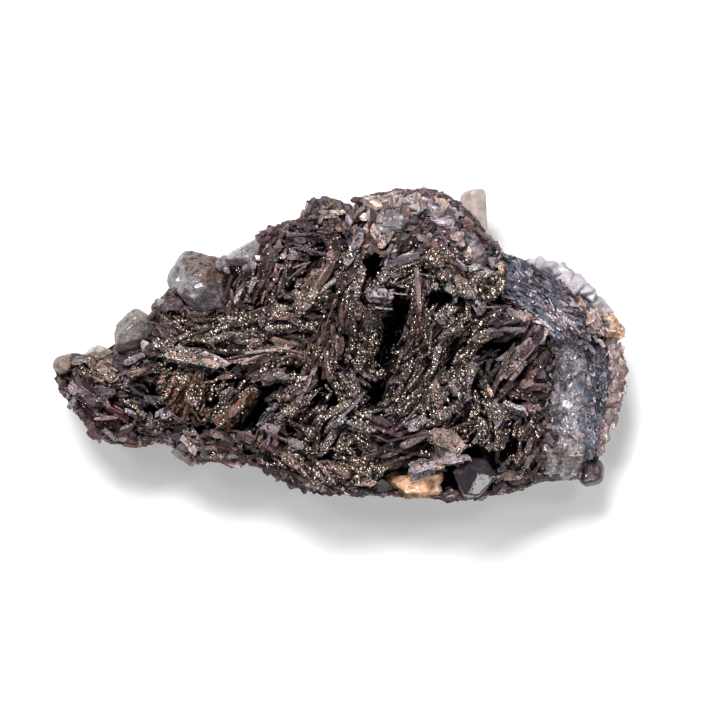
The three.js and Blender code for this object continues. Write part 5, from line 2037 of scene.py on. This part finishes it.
        # Painted light and shade: each corner face is made lighter or darker, and the hollows turn brown as
        # painted shade
        low, high = np.quantile(swell, (0.04, 0.3))
        hollow = np.concatenate([1 - smooth(swell, low, high).ravel(), [0, 0]])[None, :, None]
        light = np.concatenate([(coarse_light * fine_light).ravel() ** 0.45, [1, 1]])[None, :, None]
        tint = self.tinted(places, row.tone, None, seed, row.patch) * light
        tint = blended(tint, Tone.BROWN.light, row.hollow_shade * hollow)
        return Shell.from_rings(rings[None], ends[None], tint=np.clip(tint, 0.003, 0.95))

    def mass_shell(self, seed: int, rng: Random) -> Shell:
        """The see-through mass as a profile carried along X: crystal corners above, flat below.

        Args:
            seed: picks the mottling.
            rng: the random source.

        Returns:
            A closed shell with value tint.
        """
        x = MASS_EDGE.stations(self.mass_station, 0.05, 0.02)
        low, high = MASS_EDGE.span(x)
        y = low + (high - low) * np.linspace(1, 0, self.mass_points)
        across = x + 0 * y
        (coarse, coarse_light), (fine, fine_light), (glint, glint_light) = (
            corners(across, y, corner_tips(self.mass_area, share * self.mass_gap, rng), slope, rng)
            for share, slope in ((1, 0.7), (0.4, 0.8), (0.22, 0.5))
        )
        inward = MASS_EDGE.inward(across, y) + 0.7 * rough_noise(flat(across, y), 2.2, seed + 11)
        lean = self.mass_level - 0.28 * (across - 40) + 0.03 * (y + 8)
        z = lean + coarse + 0.6 * fine + 0.5 * glint - 4 * (1 - smooth(inward, -0.1, 1.4))
        under = low + (high - low) * np.linspace(0.03, 0.97, self.mass_under_points)
        top = np.stack([across, y, z], axis=-1)
        base = np.stack([x + 0 * under, under, np.full_like(under, self.mass_base)], axis=-1)
        rings = np.concatenate([top, base], axis=1)[None]
        ends = MASS_EDGE.ends(self.mass_base + 1.5)[None]
        places = np.concatenate([rings.reshape(1, -1, 3), ends], axis=1)
        clear, warm, white = palette((Tone.LILAC, Tone.OLIVE, Tone.ICE))
        blue = bell(places[..., 0], places[..., 1], (39.6, -6), (4.2, 6.5))[..., None]
        pale = smooth(rough_noise(places, 2.4, seed), 0.1, 0.6)[..., None]
        rusty = smooth(rough_noise(places, 3.1, seed + 5), 0.15, 0.6)[..., None] * (1 - blue)
        crack = 1 - smooth(np.abs(rough_noise(places, 2.8, seed + 9)), 0.01, 0.07)[..., None]
        tint = blended(warm, 1.5 * clear * (0.95, 1.0, 1.1), blue)
        tint = blended(tint, white, 0.8 * pale)
        tint = blended(tint, Tone.TAN.light, 0.7 * rusty)
        tint = blended(tint, Tone.DARK.light, 0.75 * crack)
        # Painted light and shade: each corner face of the top is made lighter or darker
        light = np.ones((1, rings.shape[1], rings.shape[2]))
        light[0, :, : y.shape[1]] = 0.72 * coarse_light * np.sqrt(fine_light * glint_light)
        light = np.concatenate([light.reshape(1, -1, 1), np.ones((1, 2, 1))], axis=1)
        return Shell.from_rings(rings, ends, tint=np.clip(tint * light, 0.003, 0.95))

    @staticmethod
    def flakes(
        host: Shell, count: int, turn: tuple[float, float], length: float, tones: list[Tone], rng: Random
    ) -> Laths:
        """Thin flakes that lie on the upper part of a surface.

        Args:
            host: the surface.
            count: how many flakes.
            turn: their mean heading and its spread in degrees.
            length: their typical length.
            tones: their colours.
            rng: the random source.

        Returns:
            The flakes.
        """
        upper = host.points[host.points[:, 2] > np.quantile(host.points[:, 2], 0.6)]
        tint = palette(tones)[rng.integers(0, len(tones), count)] * rng.lognormal(-0.1, 0.3, (count, 1))
        return Laths(
            middle=upper[rng.integers(0, len(upper), count)],
            heading=rng.normal(*turn, count),
            pitch=rng.normal(0, 14, count),
            roll=90 + rng.normal(0, 22, count),
            length=length * rng.lognormal(0, 0.4, count),
            width=length * rng.uniform(0.2, 0.6, count),
            thickness=rng.uniform(0.08, 0.2, count),
            tint=np.clip(tint, 0.004, 0.95),
            stations=4,
        )

    def flash(self, host: Shell, rows: Rows) -> Laths:
        """Wide pale flakes that lie flat on a surface, tinted near white as painted highlights.

        Args:
            host: the surface.
            rows: x, y, heading in degrees, length and width of each flake.

        Returns:
            The flakes.
        """
        x, y, heading, length, width = np.array(rows).T
        upper = host.points[host.points[:, 2] > host.points[:, 2].mean()]
        nearest = np.hypot(upper[:, 0] - x[:, None], upper[:, 1] - y[:, None]).argmin(axis=1)
        level = np.zeros(len(x))
        return Laths(
            middle=upper[nearest] + (0, 0, 0.2),
            heading=heading,
            pitch=level,
            roll=level + 90,
            length=length,
            width=width,
            thickness=level + self.flake_thickness,
            # Painted highlight: the flakes are tinted near white
            tint=np.tile(1.5 * Tone.ICE.light, (len(x), 1)),
            stations=4,
        )

    def build(self, rng: Random) -> None:
        """Makes every crystal, every lumpy row and the see-through mass.

        Args:
            rng: the random source.
        """
        finishes = self.finishes()
        for number, crystal in enumerate(self.crystals):
            shell = self.crystal_shell(crystal, self.crystal_seed + self.seed_step * number)
            shell.piece(crystal.node + "_face", finishes[crystal.finish], crystal.slot, [crystal.node])
        # Small pale glints where a flake faces the light
        flaky = BladeFinish(
            "calcite_flakes_grown", roughness=(0.3, 0.6), specular=0.4, speck_floor=0.6, streaks=(0.55, 1.2),
            hue=0.4,
        ).material()
        for number, row in enumerate(self.rows):
            shell = self.row_shell(row, self.row_seed + self.seed_step * number, rng)
            shell.piece(row.node + "_lumps", finishes[row.finish], row.slot, [row.node])
            if row.flakes:
                shell = self.flakes(shell, *row.flakes, [row.tone, row.patch, Tone.SAND], rng).shell(rng)
                shell.piece(row.node + "_flakes", flaky, row.slot, [row.node])
        mass, node = self.mass_shell(self.mass_seed, rng), "calcite_right_mass"
        mass.piece(node + "_face", finishes[Skin.VEINED], "grey_calcite", [node])
        tones = [Tone.ICE, Tone.LILAC, Tone.PALE, Tone.STEEL]
        shell = self.flakes(mass, *self.mass_flakes, tones, rng).shell(rng)
        shell.piece(node + "_flakes", flaky, "grey_calcite", [node])
        self.flash(mass, self.mass_flash).shell(rng).piece(node + "_flash", flaky, "grey_calcite", [node])
        block, node = self.crystal_shell(self.crystals[0], self.crystal_seed), self.crystals[0].node
        shell = self.flash(block, self.block_flashes).shell(rng)
        shell.piece(node + "_flash", flaky, "grey_calcite", [node])
        tint = Tone.ICE.light * rng.uniform(0.92, 1.12, (len(WHITE_BLOCKS), 1))
        shell = Shell.from_rings(*grains(WHITE_BLOCKS[:, :3], WHITE_BLOCKS[:, 3], rng, 20.0), tint=tint)
        node = "calcite_white_rim"
        shell.piece(node + "_blocks", finishes[Skin.CLOUDY], "white_calcite", [node])
        small = np.array(self.small_crystals)
        tint = np.tile(Tone.LILAC.light, (len(small), 1))
        shell = Shell.from_rings(*grains(small[:, :3], small[:, 3], rng), tint=tint)
        shell.piece("calcite_small_crystals", finishes[Skin.CLEAR], "grey_calcite", ["calcite_sliver"])


@dataclass
class Studio:
    """A pale floor, soft lights and a camera that looks straight down on the crystal face."""

    lens: float = 165.0
    sensor: float = 36.0
    plane_height: float = 13.5
    view_middle: tuple[float, float] = (1.8, -0.9)
    floor_half: float = 3000.0
    ring_lights: int = 6
    ring_radius: float = 420.0
    ring_height: float = 640.0
    ring_size: float = 120.0
    ring_watts: float = 0.6
    # Place in millimetres, side in millimetres and power of the two larger lights
    key: tuple[tuple[float, float, float], float, float] = ((-120, 380, 560), 240, 5.7)
    fill: tuple[tuple[float, float, float], float, float] = ((380, -420, 520), 240, 1.3)
    sky_strength: float = 0.07

    def camera(self) -> None:
        """Frames the specimen as seen from above, its long side level."""
        data = bpy.data.cameras.new("camera")
        data.lens, data.sensor_width = self.lens, self.sensor
        data.clip_start, data.clip_end = 0.01, 20.0
        away = IMAGE_PIXELS / PIXELS_PER_MM * self.lens / self.sensor
        item = linked("camera", data)
        item.location = Vector((*self.view_middle, self.plane_height + away)) * MM
        bpy.context.scene.camera = item

    def floor(self) -> None:
        """A flat pale sheet under the specimen."""
        half = self.floor_half * MM
        mesh = bpy.data.meshes.new("floor")
        corners = [(-half, -half, 0), (half, -half, 0), (half, half, 0), (-half, half, 0)]
        mesh.from_pydata(corners, [], [(0, 1, 2, 3)])
        # Matt, so that it shows the shadow and no reflection
        material, tree = new_material("floor_matt_white")
        shader = add_node(tree, "BsdfPrincipled", {"Base Color": (0.93, 0.93, 0.93, 1), "Roughness": 0.9})
        add_node(tree, "OutputMaterial", {"Surface": shader})
        mesh.materials.append(material)
        item = linked("floor", mesh)

    def light(self, name: str, place: tuple[float, float, float], size: float, watts: float) -> None:
        """A square soft light that faces the specimen.

        Args:
            name: the light's name.
            place: where it hangs, in millimetres.
            size: its side in millimetres.
            watts: its power.
        """
        data = bpy.data.lights.new(name, "AREA")
        data.size, data.energy = size * MM, watts
        item = linked(name, data)
        item.location = Vector(place) * MM
        item.rotation_euler = (-Vector(place)).to_track_quat("-Z", "Y").to_euler()

    def build(self) -> None:
        """Sets the camera, the floor, the lights and the plain colour rendering."""
        self.camera()
        self.floor()
        self.light("key", *self.key)
        self.light("fill", *self.fill)
        for number in range(self.ring_lights):
            turn = 2 * np.pi * (number + 0.5) / self.ring_lights
            place = (self.ring_radius * np.cos(turn), self.ring_radius * np.sin(turn), self.ring_height)
            self.light(f"ring_{number}", place, self.ring_size, self.ring_watts)
        world = bpy.data.worlds.new("studio")
        world.use_nodes = True
        sky = world.node_tree.nodes["Background"]
        sky.inputs["Color"].default_value = (1, 1, 1, 1)
        sky.inputs["Strength"].default_value = self.sky_strength
        bpy.context.scene.world = world
        bpy.context.scene.view_settings.view_transform = "Standard"


def main() -> None:
    """Builds the studio and every piece in order."""
    logging.basicConfig(level=logging.INFO, format="%(name)s %(message)s")
    rng = np.random.default_rng(SEED)
    Studio().build()
    MatrixRock().build(rng)
    hosts = BariteCrust().build(rng)
    CalciteCrystals().build(rng)
    GrainDust().build(hosts, rng)


if __name__ == "__main__":
    main()
